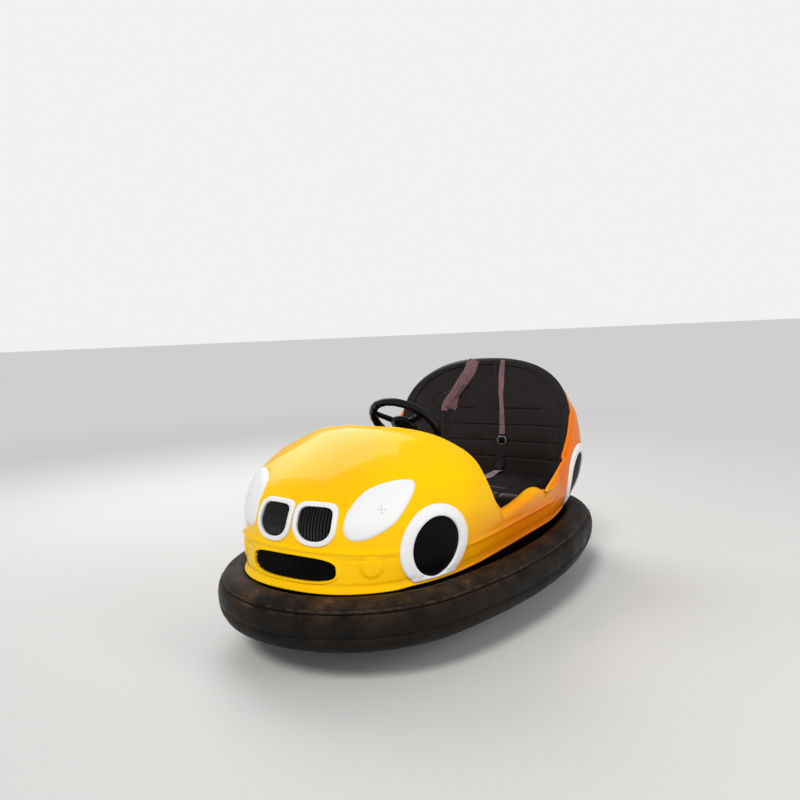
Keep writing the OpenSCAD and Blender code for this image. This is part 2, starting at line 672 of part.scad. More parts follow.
bumper_tyre();
tyre_band();
floor_pan();
chassis_frame();
body_lip();
front_body();
rear_body();
sill(1);  // sill_left
sill(-1);  // sill_right
dash_panel();
grille(1);  // grille_left
grille(-1);  // grille_right
grille_frame(1);  // grille_frame_left
grille_frame(-1);  // grille_frame_right
lower_grille();
headlamp(1);  // headlamp_left
headlamp(-1);  // headlamp_right
fog_caps();
tail_lamps();
wheel_trim(-1, 1, front_wheel);  // front_trim_left
wheel_trim(-1, -1, front_wheel);  // front_trim_right
wheel_disc(-1, 1, front_wheel);  // front_disc_left
wheel_disc(-1, -1, front_wheel);  // front_disc_right
wheel_trim(1, 1, rear_wheel);  // rear_trim_left
wheel_trim(1, -1, rear_wheel);  // rear_trim_right
wheel_disc(1, 1, rear_wheel);  // rear_disc_left
wheel_disc(1, -1, rear_wheel);  // rear_disc_right
seat_box();
seat_cushion();
seat_back();
seat_belts();
belt_buckle();
column_tube();
column_bracket();
steering_hub();
steering_rim();
pedal();
drive_bridge();
drive_cover();
drive_fork();
drive_motor();
drive_wheel();
rear_axle();
rear_wheel(1);  // rear_wheel_left
rear_wheel(-1);  // rear_wheel_right
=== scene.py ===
"""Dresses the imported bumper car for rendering: moulded body, trims, seat, belts, tyre, controls, stage and camera."""
import json
import math

import bmesh
import bpy
import numpy as np
from mathutils import Matrix, Vector


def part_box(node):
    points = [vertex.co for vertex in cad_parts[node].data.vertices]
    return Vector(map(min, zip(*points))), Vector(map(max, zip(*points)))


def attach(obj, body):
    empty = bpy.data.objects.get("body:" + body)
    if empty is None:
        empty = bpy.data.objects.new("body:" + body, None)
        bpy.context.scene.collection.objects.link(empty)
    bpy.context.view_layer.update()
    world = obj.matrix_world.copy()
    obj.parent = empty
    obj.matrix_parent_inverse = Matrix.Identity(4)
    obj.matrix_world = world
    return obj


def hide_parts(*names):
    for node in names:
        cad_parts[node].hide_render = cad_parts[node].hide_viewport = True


bl_info = {
    "name": "Bumper car",
    "version": (1, 0, 0),
    "blender": (4, 5, 0),
    "location": "View3D > Sidebar > Bumper car",
    "description": "Builds the visible pieces of a fairground bumper car over its packed frame",
    "category": "Add Mesh",
}

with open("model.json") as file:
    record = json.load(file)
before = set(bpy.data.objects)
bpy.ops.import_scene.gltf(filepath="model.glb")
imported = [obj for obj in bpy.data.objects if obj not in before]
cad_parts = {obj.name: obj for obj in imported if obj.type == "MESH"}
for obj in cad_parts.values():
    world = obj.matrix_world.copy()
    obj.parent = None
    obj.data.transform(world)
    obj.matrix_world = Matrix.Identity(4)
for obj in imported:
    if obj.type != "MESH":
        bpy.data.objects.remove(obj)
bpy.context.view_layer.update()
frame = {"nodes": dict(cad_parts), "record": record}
MM = 0.001
CAR = "car"

# Sizes that follow the frame, in millimetres


def box_mm(node):
    """Lowest and highest corner of a node in millimetres."""
    low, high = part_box(node)
    return np.array(low) / MM, np.array(high) / MM


RING_HALF_W, RING_HALF_L, TYRE_TOP = box_mm("bumper_tyre")[1]
TYRE_LOW = box_mm("bumper_tyre")[0][2]
SHELL_Z = box_mm("body_lip")[1][2]
# How far the bumper's straight-looking sides bulge, and the tyre's width
SIDE_BULGE = 62.0
TYRE_W = 148.0

# Body levels, lowest first. Columns: height above the lip, inset of the side, inset of the nose or tail,
# inset of the free edge, sharpness of the plan, where 2 is an ellipse
FRONT_LEVELS = np.array([
    [0, 159, 129, 755, 2.45], [40, 146, 141, 755, 2.45], [95, 130, 148, 755, 2.45], [150, 119, 151, 753, 2.45],
    [210, 117, 162, 713, 2.4], [265, 123, 195, 683, 2.25], [315, 137, 251, 653, 2.1], [360, 163, 321, 633, 2],
    [398, 211, 397, 625, 2], [430, 287, 475, 625, 2], [450, 373, 535, 625, 2], [461, 471, 579, 625, 2]], float)
REAR_LEVELS = np.array([
    [0, 159, 117, 795, 2.4], [40, 146, 117, 795, 2.9], [95, 130, 120, 795, 3.5], [140, 121, 125, 795, 3.9],
    [205, 116, 132, 675, 3.8], [255, 116, 141, 585, 3.5], [315, 121, 155, 525, 3.2], [375, 129, 175, 475, 2.9],
    [435, 140, 200, 430, 2.6], [480, 152, 223, 416, 2.5], [515, 170, 242, 404, 2.4], [560, 215, 263, 384, 2.3],
    [600, 275, 283, 367, 2.2], [630, 337, 299, 353, 2.2], [648, 407, 307, 341, 2.2]], float)
FRONT, REAR = -1, 1
# Height of the side walls above the lip, rows of the skin below and above it, and its columns round nose and tail
BELT_TOP = 145.0
BELT_ROWS, HIGH_ROWS = 30, 70
SKIN_COLUMNS = {FRONT: 300, REAR: 150}
# Half length of the line along the car's middle that the body relief points away from
SPINE = 220
# Distances in metres under which points of a piece, and points along the skin's seams, become one
SAME_POINT, SEAM = 0.00002, 0.0004


def smooth_rows(levels, steps=40):
    """Rows between the level rows by a Catmull-Rom curve through them: height, half width, reach, edge, sharpness."""
    n = len(levels)
    t = np.linspace(0, n - 1, steps * (n - 1) + 1)
    i = np.clip(t.astype(int), 0, n - 2)
    f = (t - i)[:, None]
    p = np.vstack([2 * levels[0] - levels[1], levels, 2 * levels[-1] - levels[-2]])
    a, b, c, d = p[i], p[i + 1], p[i + 2], p[i + 3]
    rows = 0.5 * (2 * b + (c - a) * f + (2 * a - 5 * b + 4 * c - d) * f ** 2 + (3 * b - a - 3 * c + d) * f ** 3)
    rows[:, 1] = RING_HALF_W - rows[:, 1]
    rows[:, 2:4] = RING_HALF_L - rows[:, 2:4]
    return rows


ROWS = {FRONT: smooth_rows(FRONT_LEVELS), REAR: smooth_rows(REAR_LEVELS)}


def columns(way, h):
    """Half width, reach, free edge and sharpness of the body at heights h above the lip."""
    rows = ROWS[way]
    return [np.interp(h, rows[:, 0], rows[:, c]) for c in range(1, 5)]


def shell_point(way, h, a):
    """Point of the body at height h above the lip and angle a: a superellipse arc from one free edge to the other."""
    w, reach, edge, n = columns(way, h)
    c, s = np.cos(a), np.clip(np.sin(a), 0, 1)
    x = w * power(c, 2 / n)
    y = way * (edge + (reach - edge) * s ** (2 / n))
    return np.stack(np.broadcast_arrays(x, y, SHELL_Z + h), -1)


def beyond(way, p):
    """How far outside the body points are: the superellipse's sum less one."""
    w, reach, edge, n = columns(way, p[..., 2] - SHELL_Z)
    share = np.maximum(way * p[..., 1] - edge, 0) / (reach - edge)
    return (np.abs(p[..., 0]) / w) ** n + share ** n - 1


def axes(place):
    """Axes along the body, up it and out of it at a place, which is x, y, z, turn to the tail and upward tilt."""
    turn, tilt = math.radians(place[3]), math.radians(place[4])
    out = np.array([math.cos(turn) * math.cos(tilt), math.sin(turn) * math.cos(tilt), math.sin(tilt)])
    along = np.array([-math.sin(turn), math.cos(turn), 0.0])
    return along, np.cross(out, along), out


def laid(way, place, u, v):
    """Points at u along and v up from a place, pushed along its normal on to the skin by halving the distance."""
    along, up, out = axes(place)
    p = np.array(place[:3], float) + u[..., None] * along + v[..., None] * up
    farthest, halvings = 200.0, 22
    low, high = np.full(u.shape, -farthest), np.full(u.shape, farthest)
    for _ in range(halvings):
        mid = (low + high) / 2
        outside = beyond(way, p + mid[..., None] * out) > 0
        high, low = np.where(outside, mid, high), np.where(outside, low, mid)
    return p + ((low + high) / 2)[..., None] * out


def oval(inset, n):
    """Bumper oval moved inwards: four tangent arcs sampled evenly by length. Returns x and y arrays."""
    end_r = RING_HALF_W - SIDE_BULGE
    arc_y = RING_HALF_L - end_r
    side_x = (arc_y ** 2 - SIDE_BULGE ** 2) / (2 * SIDE_BULGE)
    side_r = RING_HALF_W + side_x
    join = math.atan2(arc_y, side_x)
    # the first half: one side's arc, then the arc of one end. The other half is the same turned round the middle
    a = np.linspace(-join, join, 200, endpoint=False)
    b = np.linspace(join, math.pi - join, 400, endpoint=False)
    x = np.concatenate([-side_x + side_r * np.cos(a), end_r * np.cos(b)])
    y = np.concatenate([side_r * np.sin(a), arc_y + end_r * np.sin(b)])
    nx = np.concatenate([np.cos(a), np.cos(b)])
    ny = np.concatenate([np.sin(a), np.sin(b)])
    x, y, nx, ny = [np.concatenate([q, -q]) for q in (x, y, nx, ny)]
    s = np.concatenate([[0], np.cumsum(np.hypot(np.diff(x, append=x[0]), np.diff(y, append=y[0])))])
    t = np.linspace(0, s[-1], n, endpoint=False)
    x, y, nx, ny = [np.interp(t, s, np.append(q, q[0])) for q in (x, y, nx, ny)]
    return x - inset * nx, y - inset * ny


def bump(x, width):
    """Smooth hump of height 1 round nought: the Gauss curve of x over the width."""
    return np.exp(-(x / width) ** 2)


def step(x, width):
    """Smooth step from 0 to 1 across a width, by the hyperbolic tangent."""
    return 0.5 + 0.5 * np.tanh(x / width)


def circle(n):
    """n angles evenly round a full turn."""
    return np.linspace(0, 2 * math.pi, n, endpoint=False)


def power(value, exponent):
    """A value's size to a power, with the value's own sign."""
    return np.sign(value) * np.abs(value) ** exponent


def unit(vectors):
    """Vectors divided by their own length."""
    return vectors / np.linalg.norm(vectors, axis=-1, keepdims=True)


def run_length(points):
    """Length of a path up to each of its points: the running sum of the distances between them."""
    return np.concatenate([[0], np.cumsum(np.linalg.norm(np.diff(points, axis=0), axis=1))])


# Meshes


def add_mesh(name, points, faces, material, slot, body=CAR, replaces=()):
    """Puts points in millimetres and faces into a mesh object, gives it a material and rides it on a body."""
    mesh = bpy.data.meshes.new(name)
    points = np.asarray(points, float).reshape(-1, 3) * MM
    mesh.from_pydata(points.tolist(), [], faces if isinstance(faces, list) else faces.tolist())
    mesh.polygons.foreach_set("use_smooth", np.full(len(mesh.polygons), True))
    mesh.update()
    mesh.materials.append(bpy.data.materials["finish_" + material])
    obj = bpy.data.objects.new(name, mesh)
    bpy.context.scene.collection.objects.link(obj)
    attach(obj, body)
    if replaces:
        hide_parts(*replaces)
    return obj


def grid_faces(m, n, wrap_m=False, wrap_n=False, start=0):
    """Quads of a grid of m rows of n points, closed into a ring along either axis where it wraps."""
    i = np.arange(m if wrap_m else m - 1)[:, None]
    j = np.arange(n if wrap_n else n - 1)[None, :]
    k, l = (i + 1) % m, (j + 1) % n
    quads = np.stack(np.broadcast_arrays(i * n + j, i * n + l, k * n + l, k * n + j), -1)
    return quads.reshape(-1, 4) + start


def capped_faces(n, m):
    """Quads of n spokes of m points round a middle, with one face over the first points and one over the last."""
    return grid_faces(n, m, True, False).tolist() + [[i * m for i in range(n)], [i * m + m - 1 for i in range(n)]]


def open_faces(n, m):
    """Quads of n rings of m points, with one face over the first ring and one over the last."""
    ends = [list(range(m - 1, -1, -1)), [(n - 1) * m + i for i in range(m)]]
    return grid_faces(n, m, False, True).tolist() + ends


def swept(name, centre, axis_a, axis_b, profile, material, closed=True, **kw):
    """A closed profile of (a, b) points carried along a path, with its two axes given at every point of the path."""
    points = centre[:, None] + profile[None, :, :1] * axis_a[:, None] + profile[None, :, 1:] * axis_b[:, None]
    n, m = len(centre), len(profile)
    faces = grid_faces(n, m, True, True) if closed else open_faces(n, m)
    return outward(add_mesh(name, points, faces, material, **kw))


def outward(obj):
    """Merges doubles and turns the faces of a closed mesh outwards."""
    mesh = bmesh.new()
    mesh.from_mesh(obj.data)
    bmesh.ops.remove_doubles(mesh, verts=mesh.verts, dist=SAME_POINT)
    bmesh.ops.recalc_face_normals(mesh, faces=mesh.faces)
    mesh.to_mesh(obj.data)
    mesh.free()
    return obj


def tube(name, path, radius, material, sides, closed=False, **kw):
    """A round section carried along a path of points."""
    run = unit(np.roll(path, -1, 0) - np.roll(path, 1, 0) if closed else np.gradient(path, axis=0))
    side = unit(np.cross(run, np.where(np.abs(run[:, 2:]) > 0.9, [[1.0, 0, 0]], [[0, 0, 1.0]])))
    t = circle(sides)
    profile = np.stack([np.cos(t), np.sin(t)], -1) * radius
    return swept(name, path, side, np.cross(side, run), profile, material, closed, **kw)


def wall(obj, thickness, **values):
    """Gives a surface a thickness behind its outer side."""
    modifier = obj.modifiers.new("Solidify", "SOLIDIFY")
    modifier.thickness = thickness
    modifier.offset = -1.0
    for key, value in values.items():
        setattr(modifier, key, value)


def set_uv(obj, u, v):
    """Gives a mesh a UV map from a u and a v for each of its vertices."""
    loops = np.zeros(len(obj.data.loops), int)
    obj.data.loops.foreach_get("vertex_index", loops)
    layer = obj.data.uv_layers.new(name="UVMap")
    layer.data.foreach_set("uv", np.stack([u, v], -1)[loops].astype(np.float32).ravel())


def side_name(side):
    """Name of a side of the car: left for 1, right for -1."""
    return "left" if side > 0 else "right"


# Materials


class Nodes:
    """A short way to add and join the nodes of a tree."""

    def __init__(self, tree):
        self.tree = tree

    def link(self, value, socket):
        """Joins an output to an input."""
        self.tree.links.new(value, socket)

    def add(self, kind, values=None, **attributes):
        """A node with its attributes set and each input given its value or joined to an output."""
        node = self.tree.nodes.new(kind)
        for key, value in attributes.items():
            setattr(node, key, value)
        for key, value in (values or {}).items():
            if isinstance(value, bpy.types.NodeSocket):
                self.link(value, node.inputs[key])
            else:
                node.inputs[key].default_value = value
        return node

    def math(self, operation, a, b=0.0, c=None, clamp=False):
        """Output of a math node on up to three values."""
        values = {0: a, 1: b}
        if c is not None:
            values[2] = c
        return self.add("ShaderNodeMath", values, operation=operation, use_clamp=clamp).outputs[0]

    def times(self, *values):
        """Product of two or more values."""
        product = values[0]
        for value in values[1:]:
            product = self.math("MULTIPLY", product, value)
        return product

    def noise(self, vector, scale, detail=3.0, rough=0.5):
        """Noise from 0 to 1 at a place."""
        values = {"Vector": vector, "Scale": scale, "Detail": detail, "Roughness": rough}
        return self.add("ShaderNodeTexNoise", values).outputs[0]

    def between(self, value, low, high, to_low=0.0, to_high=1.0):
        """Value moved straight from the range low to high on to another one, and held at its ends."""
        return self.add("ShaderNodeMapRange", {0: value, 1: low, 2: high, 3: to_low, 4: to_high}).outputs[0]

    def mix(self, factor, a, b):
        """Colour between a and b, at the factor's share of the way."""
        return self.add("ShaderNodeMix", {0: factor, 6: a, 7: b}, data_type="RGBA").outputs[2]

    def split(self, vector):
        """The three parts of a vector."""
        return self.add("ShaderNodeSeparateXYZ", {0: vector}).outputs

    def facing_up(self):
        """Upward part of the surface's normal."""
        return self.split(self.add("ShaderNodeNewGeometry").outputs["Normal"])[2]


def new_group(name, output, **inputs):
    """A shader node group with one output. Its inputs are floats, or a vector where the value is None."""
    tree = bpy.data.node_groups.new(name, "ShaderNodeTree")
    for key, value in inputs.items():
        kind = "NodeSocketVector" if value is None else "NodeSocketFloat"
        socket = tree.interface.new_socket(key, in_out="INPUT", socket_type=kind)
        if value is not None:
            socket.default_value = value
    tree.interface.new_socket(output, in_out="OUTPUT", socket_type="NodeSocketFloat")
    nodes = Nodes(tree)
    return nodes, nodes.add("NodeGroupInput").outputs, nodes.add("NodeGroupOutput").inputs[output]


def build_groups():
    """Grain, scratches, dust and wear: heights and masks that several finishes share."""
    n, source, sink = new_group("surface_grain", "Height", Vector=None, Scale=400.0, Detail=3.0)
    cells = n.add("ShaderNodeTexVoronoi", {"Vector": source["Vector"], "Scale": source["Scale"]}, feature="SMOOTH_F1")
    fine = n.noise(source["Vector"], source["Scale"], source["Detail"])
    n.link(n.math("MULTIPLY_ADD", cells.outputs[0], 0.7, n.times(fine, 0.3)), sink)

    n, source, sink = new_group("fine_scratches", "Mask", Vector=None, Scale=14.0, Amount=0.5)
    stretch = {"Vector": source["Vector"], "Rotation": (0.4, 0.9, 0.6), "Scale": (1.0, 9.0, 14.0)}
    lines = n.noise(n.add("ShaderNodeMapping", stretch).outputs[0], source["Scale"], 5.0)
    patches = n.between(n.noise(source["Vector"], 3.0), 0.45, 0.6)
    n.link(n.times(n.between(lines, 0.62, 0.66), patches, source["Amount"]), sink)

    n, source, sink = new_group("settled_dust", "Mask", Vector=None, Scale=6.0, Amount=0.5)
    patchy = n.between(n.noise(source["Vector"], source["Scale"], 6.0, 0.65), 0.38, 0.68)
    lying = n.between(n.facing_up(), -0.3, 0.9, 0.25, 1.0)
    n.link(n.math("MULTIPLY", n.times(patchy, lying), source["Amount"], clamp=True), sink)

    n, source, sink = new_group("worn_edge", "Mask", Vector=None, Amount=0.5)
    rim = n.between(n.add("ShaderNodeNewGeometry").outputs["Pointiness"], 0.52, 0.60)
    patches = n.between(n.noise(source["Vector"], 30.0, 5.0), 0.4, 0.6)
    n.link(n.math("MULTIPLY", n.times(rim, patches), source["Amount"], clamp=True), sink)


def shader(name, colour, roughness, metallic=0.0, coat=0.0, specular=0.5):
    """A material named finish_ and the name, with a Principled shader whose constant values sit on its own sockets."""
    material = bpy.data.materials.new("finish_" + name)
    material.use_nodes = True
    tree = material.node_tree
    bsdf = tree.nodes["Principled BSDF"]
    bsdf.inputs["Base Color"].default_value = (*colour, 1.0)
    bsdf.inputs["Roughness"].default_value = roughness
    bsdf.inputs["Metallic"].default_value = metallic
    bsdf.inputs["Coat Weight"].default_value = coat
    bsdf.inputs["Coat Roughness"].default_value = 0.05
    bsdf.inputs["Specular IOR Level"].default_value = specular
    nodes = Nodes(tree)
    place = nodes.add("ShaderNodeTexCoord").outputs["Object"]
    return nodes, bsdf, place


def use_group(nodes, name, **values):
    """Output of one of the shared groups at the given values."""
    return nodes.add("ShaderNodeGroup", values, node_tree=bpy.data.node_groups[name]).outputs[0]


def set_bump(nodes, bsdf, height, strength, distance):
    """Tilts the surface's normal by a height."""
    bumped = nodes.add("ShaderNodeBump", {"Height": height, "Strength": strength, "Distance": distance})
    nodes.link(bumped.outputs[0], bsdf.inputs["Normal"])


def solid(colour, factor=1.0):
    """Colour times a factor, held at 1, with full alpha."""
    return (*[min(1.0, c * factor) for c in colour], 1.0)


def gloss_finish(name, colour, deep, roughness, fade=False, dust=0.01, coat=0.2):
    """Moulded gloss: slight colour drift, faint ripple, hairline scratches and a little dust, under a clear coat. With
    fade, a painted shade deepens the colour towards the sides, the back and the sills.
    """
    n, bsdf, place = shader(name, colour, roughness, coat=coat, specular=0.03)
    drift = n.between(n.noise(place, 2.2, 2.0), 0.35, 0.65)
    base = n.mix(n.times(drift, 0.25), solid(colour), solid(deep))
    if fade:
        # painted shade: the deeper colour, which is the body's colour as it looks in shade, grows towards the sides,
        # the back and the sills
        x, y, z = n.split(place)
        back = n.between(y, -0.75, -0.05)
        out = n.between(n.math("ABSOLUTE", x), 0.26, 0.46)
        low = n.math("MAXIMUM", n.between(z, 0.50, 0.36), n.between(y, 0.08, 0.34))
        base = n.mix(n.times(back, out, n.math("MULTIPLY_ADD", low, 0.7, 0.3)), base, solid(deep))
    dirt = use_group(n, "settled_dust", Vector=place, Scale=5.0, Amount=dust)
    base = n.mix(dirt, base, (0.25, 0.19, 0.13, 1))
    n.link(base, bsdf.inputs["Base Color"])
    scratch = use_group(n, "fine_scratches", Vector=place, Scale=16.0, Amount=0.35)
    rough = n.math("MULTIPLY_ADD", dirt, 0.6, roughness)
    n.link(n.math("MULTIPLY_ADD", scratch, 0.4, rough), bsdf.inputs["Roughness"])
    set_bump(n, bsdf, n.noise(place, 55.0, 1.0), 0.05, 0.002)


def rubber_finish(name, colour, dust_colour, dust, ribs=False):
    """Rubber: fine grain, blotches of dust, brown patches and pale scuffs that run along the side. With ribs, fine
    ribs, two near-black lines of painted shade in the grooves and a paler edge between them, part wear and part
    painted highlight, lie at set shares of the section, which is the UV's v."""
    n, bsdf, place = shader(name, colour, 0.55, specular=0.10)
    blot = n.between(n.noise(place, 4.0, 6.0, 0.7), 0.35, 0.7)
    base = n.mix(n.times(blot, 0.6), solid(colour), solid(colour, 1.7))
    dirt = use_group(n, "settled_dust", Vector=place, Scale=9.0, Amount=dust)
    if ribs:
        front = n.between(n.split(place)[1], 0.3, -0.75, 0.35, 1.0)
        up = n.facing_up()
        dirt = n.times(dirt, front, n.between(up, 0.0, 0.8, 0.5, 1.2))
    base = n.mix(dirt, base, solid(dust_colour))
    scuff_place = n.add("ShaderNodeMapping", {"Vector": place, "Scale": (6.0, 6.0, 60.0)}).outputs[0]
    scuff = n.between(n.noise(scuff_place, 3.0, 5.0, 0.6), 0.60, 0.72)
    base = n.mix(n.times(scuff, 0.12), base, (0.13, 0.115, 0.10, 1))
    rust = n.between(n.noise(place, 9.0, 8.0, 0.75), 0.58, 0.72)
    if ribs:
        rust = n.times(rust, n.between(up, 0.55, 0.9), front, front)
    base = n.mix(n.times(rust, 1.4 * dust), base, (0.22, 0.085, 0.022, 1))
    n.link(n.math("MULTIPLY_ADD", dirt, 0.3, n.between(blot, 0.0, 1.0, 0.38, 0.68)), bsdf.inputs["Roughness"])
    grain = use_group(n, "surface_grain", Vector=place, Scale=260.0, Detail=4.0)
    height = n.math("MULTIPLY_ADD", n.noise(scuff_place, 4.0, 4.0), 0.35, grain)
    if ribs:
        v = n.split(n.add("ShaderNodeUVMap", uv_map="UVMap").outputs[0])[1]
        fine = n.math("SINE", n.times(v, 420.0))
        zone = n.between(n.math("ABSOLUTE", n.math("SUBTRACT", v, 0.70)), 0.10, 0.06)
        height = n.math("MULTIPLY_ADD", n.times(fine, zone), 0.7, height)
        # painted shade: the two grooves are drawn as near-black lines
        for at, wide in ((0.6087, 0.016), (0.3478, 0.012)):
            line = n.between(n.math("ABSOLUTE", n.math("SUBTRACT", v, at)), wide, wide * 0.4)
            base = n.mix(line, base, (0.0008, 0.0008, 0.0008, 1))
        # a paler, patchy band on the shoulder ridge: part wear, part painted highlight along the ridge
        edge = n.between(n.math("ABSOLUTE", n.math("SUBTRACT", v, 0.650)), 0.022, 0.008)
        patchy = n.between(n.noise(place, 34.0, 5.0, 0.7), 0.42, 0.60)
        base = n.mix(n.times(edge, patchy, 0.55), base, (0.085, 0.062, 0.046, 1))
    n.link(base, bsdf.inputs["Base Color"])
    set_bump(n, bsdf, height, 0.45, 0.0016)


def hide_finish(name, colour):
    """Black synthetic hide: pebbled grain, soft sheen and faint grey wear on raised edges."""
    n, bsdf, place = shader(name, colour, 0.34, coat=0.05, specular=0.25)
    worn = use_group(n, "worn_edge", Vector=place, Amount=0.06)
    patch = n.between(n.noise(place, 3.5, 4.0, 0.6), 0.35, 0.7)
    base = n.mix(n.times(patch, 0.5), solid(colour), solid(colour, 1.5))
    dirt = use_group(n, "settled_dust", Vector=place, Scale=4.0, Amount=0.015)
    base = n.mix(dirt, base, (0.20, 0.16, 0.13, 1))
    n.link(n.mix(worn, base, (0.06, 0.06, 0.06, 1)), bsdf.inputs["Base Color"])
    n.link(n.between(patch, 0.0, 1.0, 0.28, 0.44), bsdf.inputs["Roughness"])
    set_bump(n, bsdf, use_group(n, "surface_grain", Vector=place, Scale=420.0, Detail=3.0), 0.22, 0.0006)


def metal_finish(name, colour, roughness, metallic, dust=0.15):
    """Painted or plated metal: fine speckle, worn edges and dust."""
    n, bsdf, place = shader(name, colour, roughness, metallic=metallic)
    worn = use_group(n, "worn_edge", Vector=place, Amount=0.7)
    base = n.mix(worn, solid(colour), (0.34, 0.33, 0.31, 1))
    dirt = use_group(n, "settled_dust", Vector=place, Scale=8.0, Amount=dust)
    n.link(n.mix(dirt, base, (0.22, 0.18, 0.14, 1)), bsdf.inputs["Base Color"])
    scratch = use_group(n, "fine_scratches", Vector=place, Scale=24.0, Amount=0.6)
    n.link(n.math("ADD", scratch, n.math("MULTIPLY_ADD", dirt, 0.4, roughness)), bsdf.inputs["Roughness"])
    set_bump(n, bsdf, use_group(n, "surface_grain", Vector=place, Scale=300.0, Detail=2.0), 0.08, 0.0005)


def webbing_finish(name, colour):
    """Woven strap: fine bars across its length by the strap's own UV, faded and dusty in places."""
    n, bsdf, place = shader(name, colour, 0.8, specular=0.2)
    along, across, _ = n.split(n.add("ShaderNodeUVMap", uv_map="UVMap").outputs[0])
    bars = n.math("SINE", n.times(along, 2800.0))
    ribs = n.math("SINE", n.times(across, 180.0))
    weave = n.math("MULTIPLY_ADD", bars, 0.5, n.times(ribs, 0.5))
    fade = n.between(n.noise(place, 14.0, 5.0, 0.7), 0.35, 0.7)
    base = n.mix(fade, solid(colour), solid(colour, 1.8))
    base = n.mix(n.between(weave, -1.0, 1.0, 0.0, 0.3), base, solid(colour, 0.5))
    n.link(base, bsdf.inputs["Base Color"])
    bsdf.inputs["Sheen Weight"].default_value = 0.3
    set_bump(n, bsdf, weave, 0.5, 0.0006)


def lens_finish(name, colour):
    """Moulded red lens with fine upright flutes and level rows, both sine waves, and a painted shade across the flutes.
    """
    n, bsdf, place = shader(name, colour, 0.12, coat=1.0)
    x, _, z = n.split(place)
    flutes = n.math("SINE", n.times(x, 700.0))
    rows = n.math("SINE", n.times(z, 420.0))
    # painted shade: the colour darkens across each flute, in step with its bump
    flute_shade = n.between(flutes, -1.0, 1.0, 0.0, 0.35)
    n.link(n.mix(flute_shade, solid(colour), solid(colour, 0.4)), bsdf.inputs["Base Color"])
    set_bump(n, bsdf, n.math("ADD", flutes, rows), 0.4, 0.001)


# Properties and finishes


class BumperCarColours(bpy.types.PropertyGroup):
    """Colours of the car's finishes."""
    body: bpy.props.FloatVectorProperty(name="Body", description="Colour of the moulded body", subtype="COLOR", size=3,
                                        default=(1.0, 0.61, 0.001), min=0, max=1)
    # painted shade: the body's colour as it looks in shade, which the sides, back and sills fade to; the random colour
    # drift also leans towards it
    body_drift_and_shade: bpy.props.FloatVectorProperty(name="Body, sides", description="Deeper colour that the sides fade to",
                                             subtype="COLOR", size=3, default=(0.84, 0.17, 0.001), min=0, max=1)
    trim: bpy.props.FloatVectorProperty(name="Trim", description="Colour of the white lamps and rings", subtype="COLOR",
                                        size=3, default=(0.82, 0.82, 0.82), min=0, max=1)
    tyre: bpy.props.FloatVectorProperty(name="Tyre", description="Colour of the bumper tyre", subtype="COLOR", size=3,
                                        default=(0.0055, 0.005, 0.0045), min=0, max=1)
    seat: bpy.props.FloatVectorProperty(name="Seat", description="Colour of the seat's hide", subtype="COLOR", size=3,
                                        default=(0.014, 0.0112, 0.0105), min=0, max=1)
    webbing: bpy.props.FloatVectorProperty(name="Belts", description="Colour of the belts' webbing", subtype="COLOR",
                                           size=3, default=(0.17, 0.09, 0.105), min=0, max=1)


class BumperCarSizes(bpy.types.PropertyGroup):
    """Sizes that a user would change."""
    wall: bpy.props.FloatProperty(name="Wall", description="Thickness of the moulded body", default=0.008, min=0.004,
                                  max=0.011, unit="LENGTH")
    ring_rise: bpy.props.FloatProperty(name="Ring height", description="How far the white rings stand off the body",
                                       default=0.009, min=0.004, max=0.016, unit="LENGTH")
    hair_count: bpy.props.IntProperty(name="Moulding hairs", description="Small rubber hairs left on the tyre's side",
                                      default=70, min=0, max=300)
    roll: bpy.props.FloatProperty(name="Seat border", description="Height of the padded roll round the seat back",
                                  default=0.007, min=0.003, max=0.02, unit="LENGTH")


def colours():
    """Colours set in the sidebar."""
    return bpy.context.scene.bumper_colours


def sizes():
    """Sizes set in the sidebar."""
    return bpy.context.scene.bumper_sizes


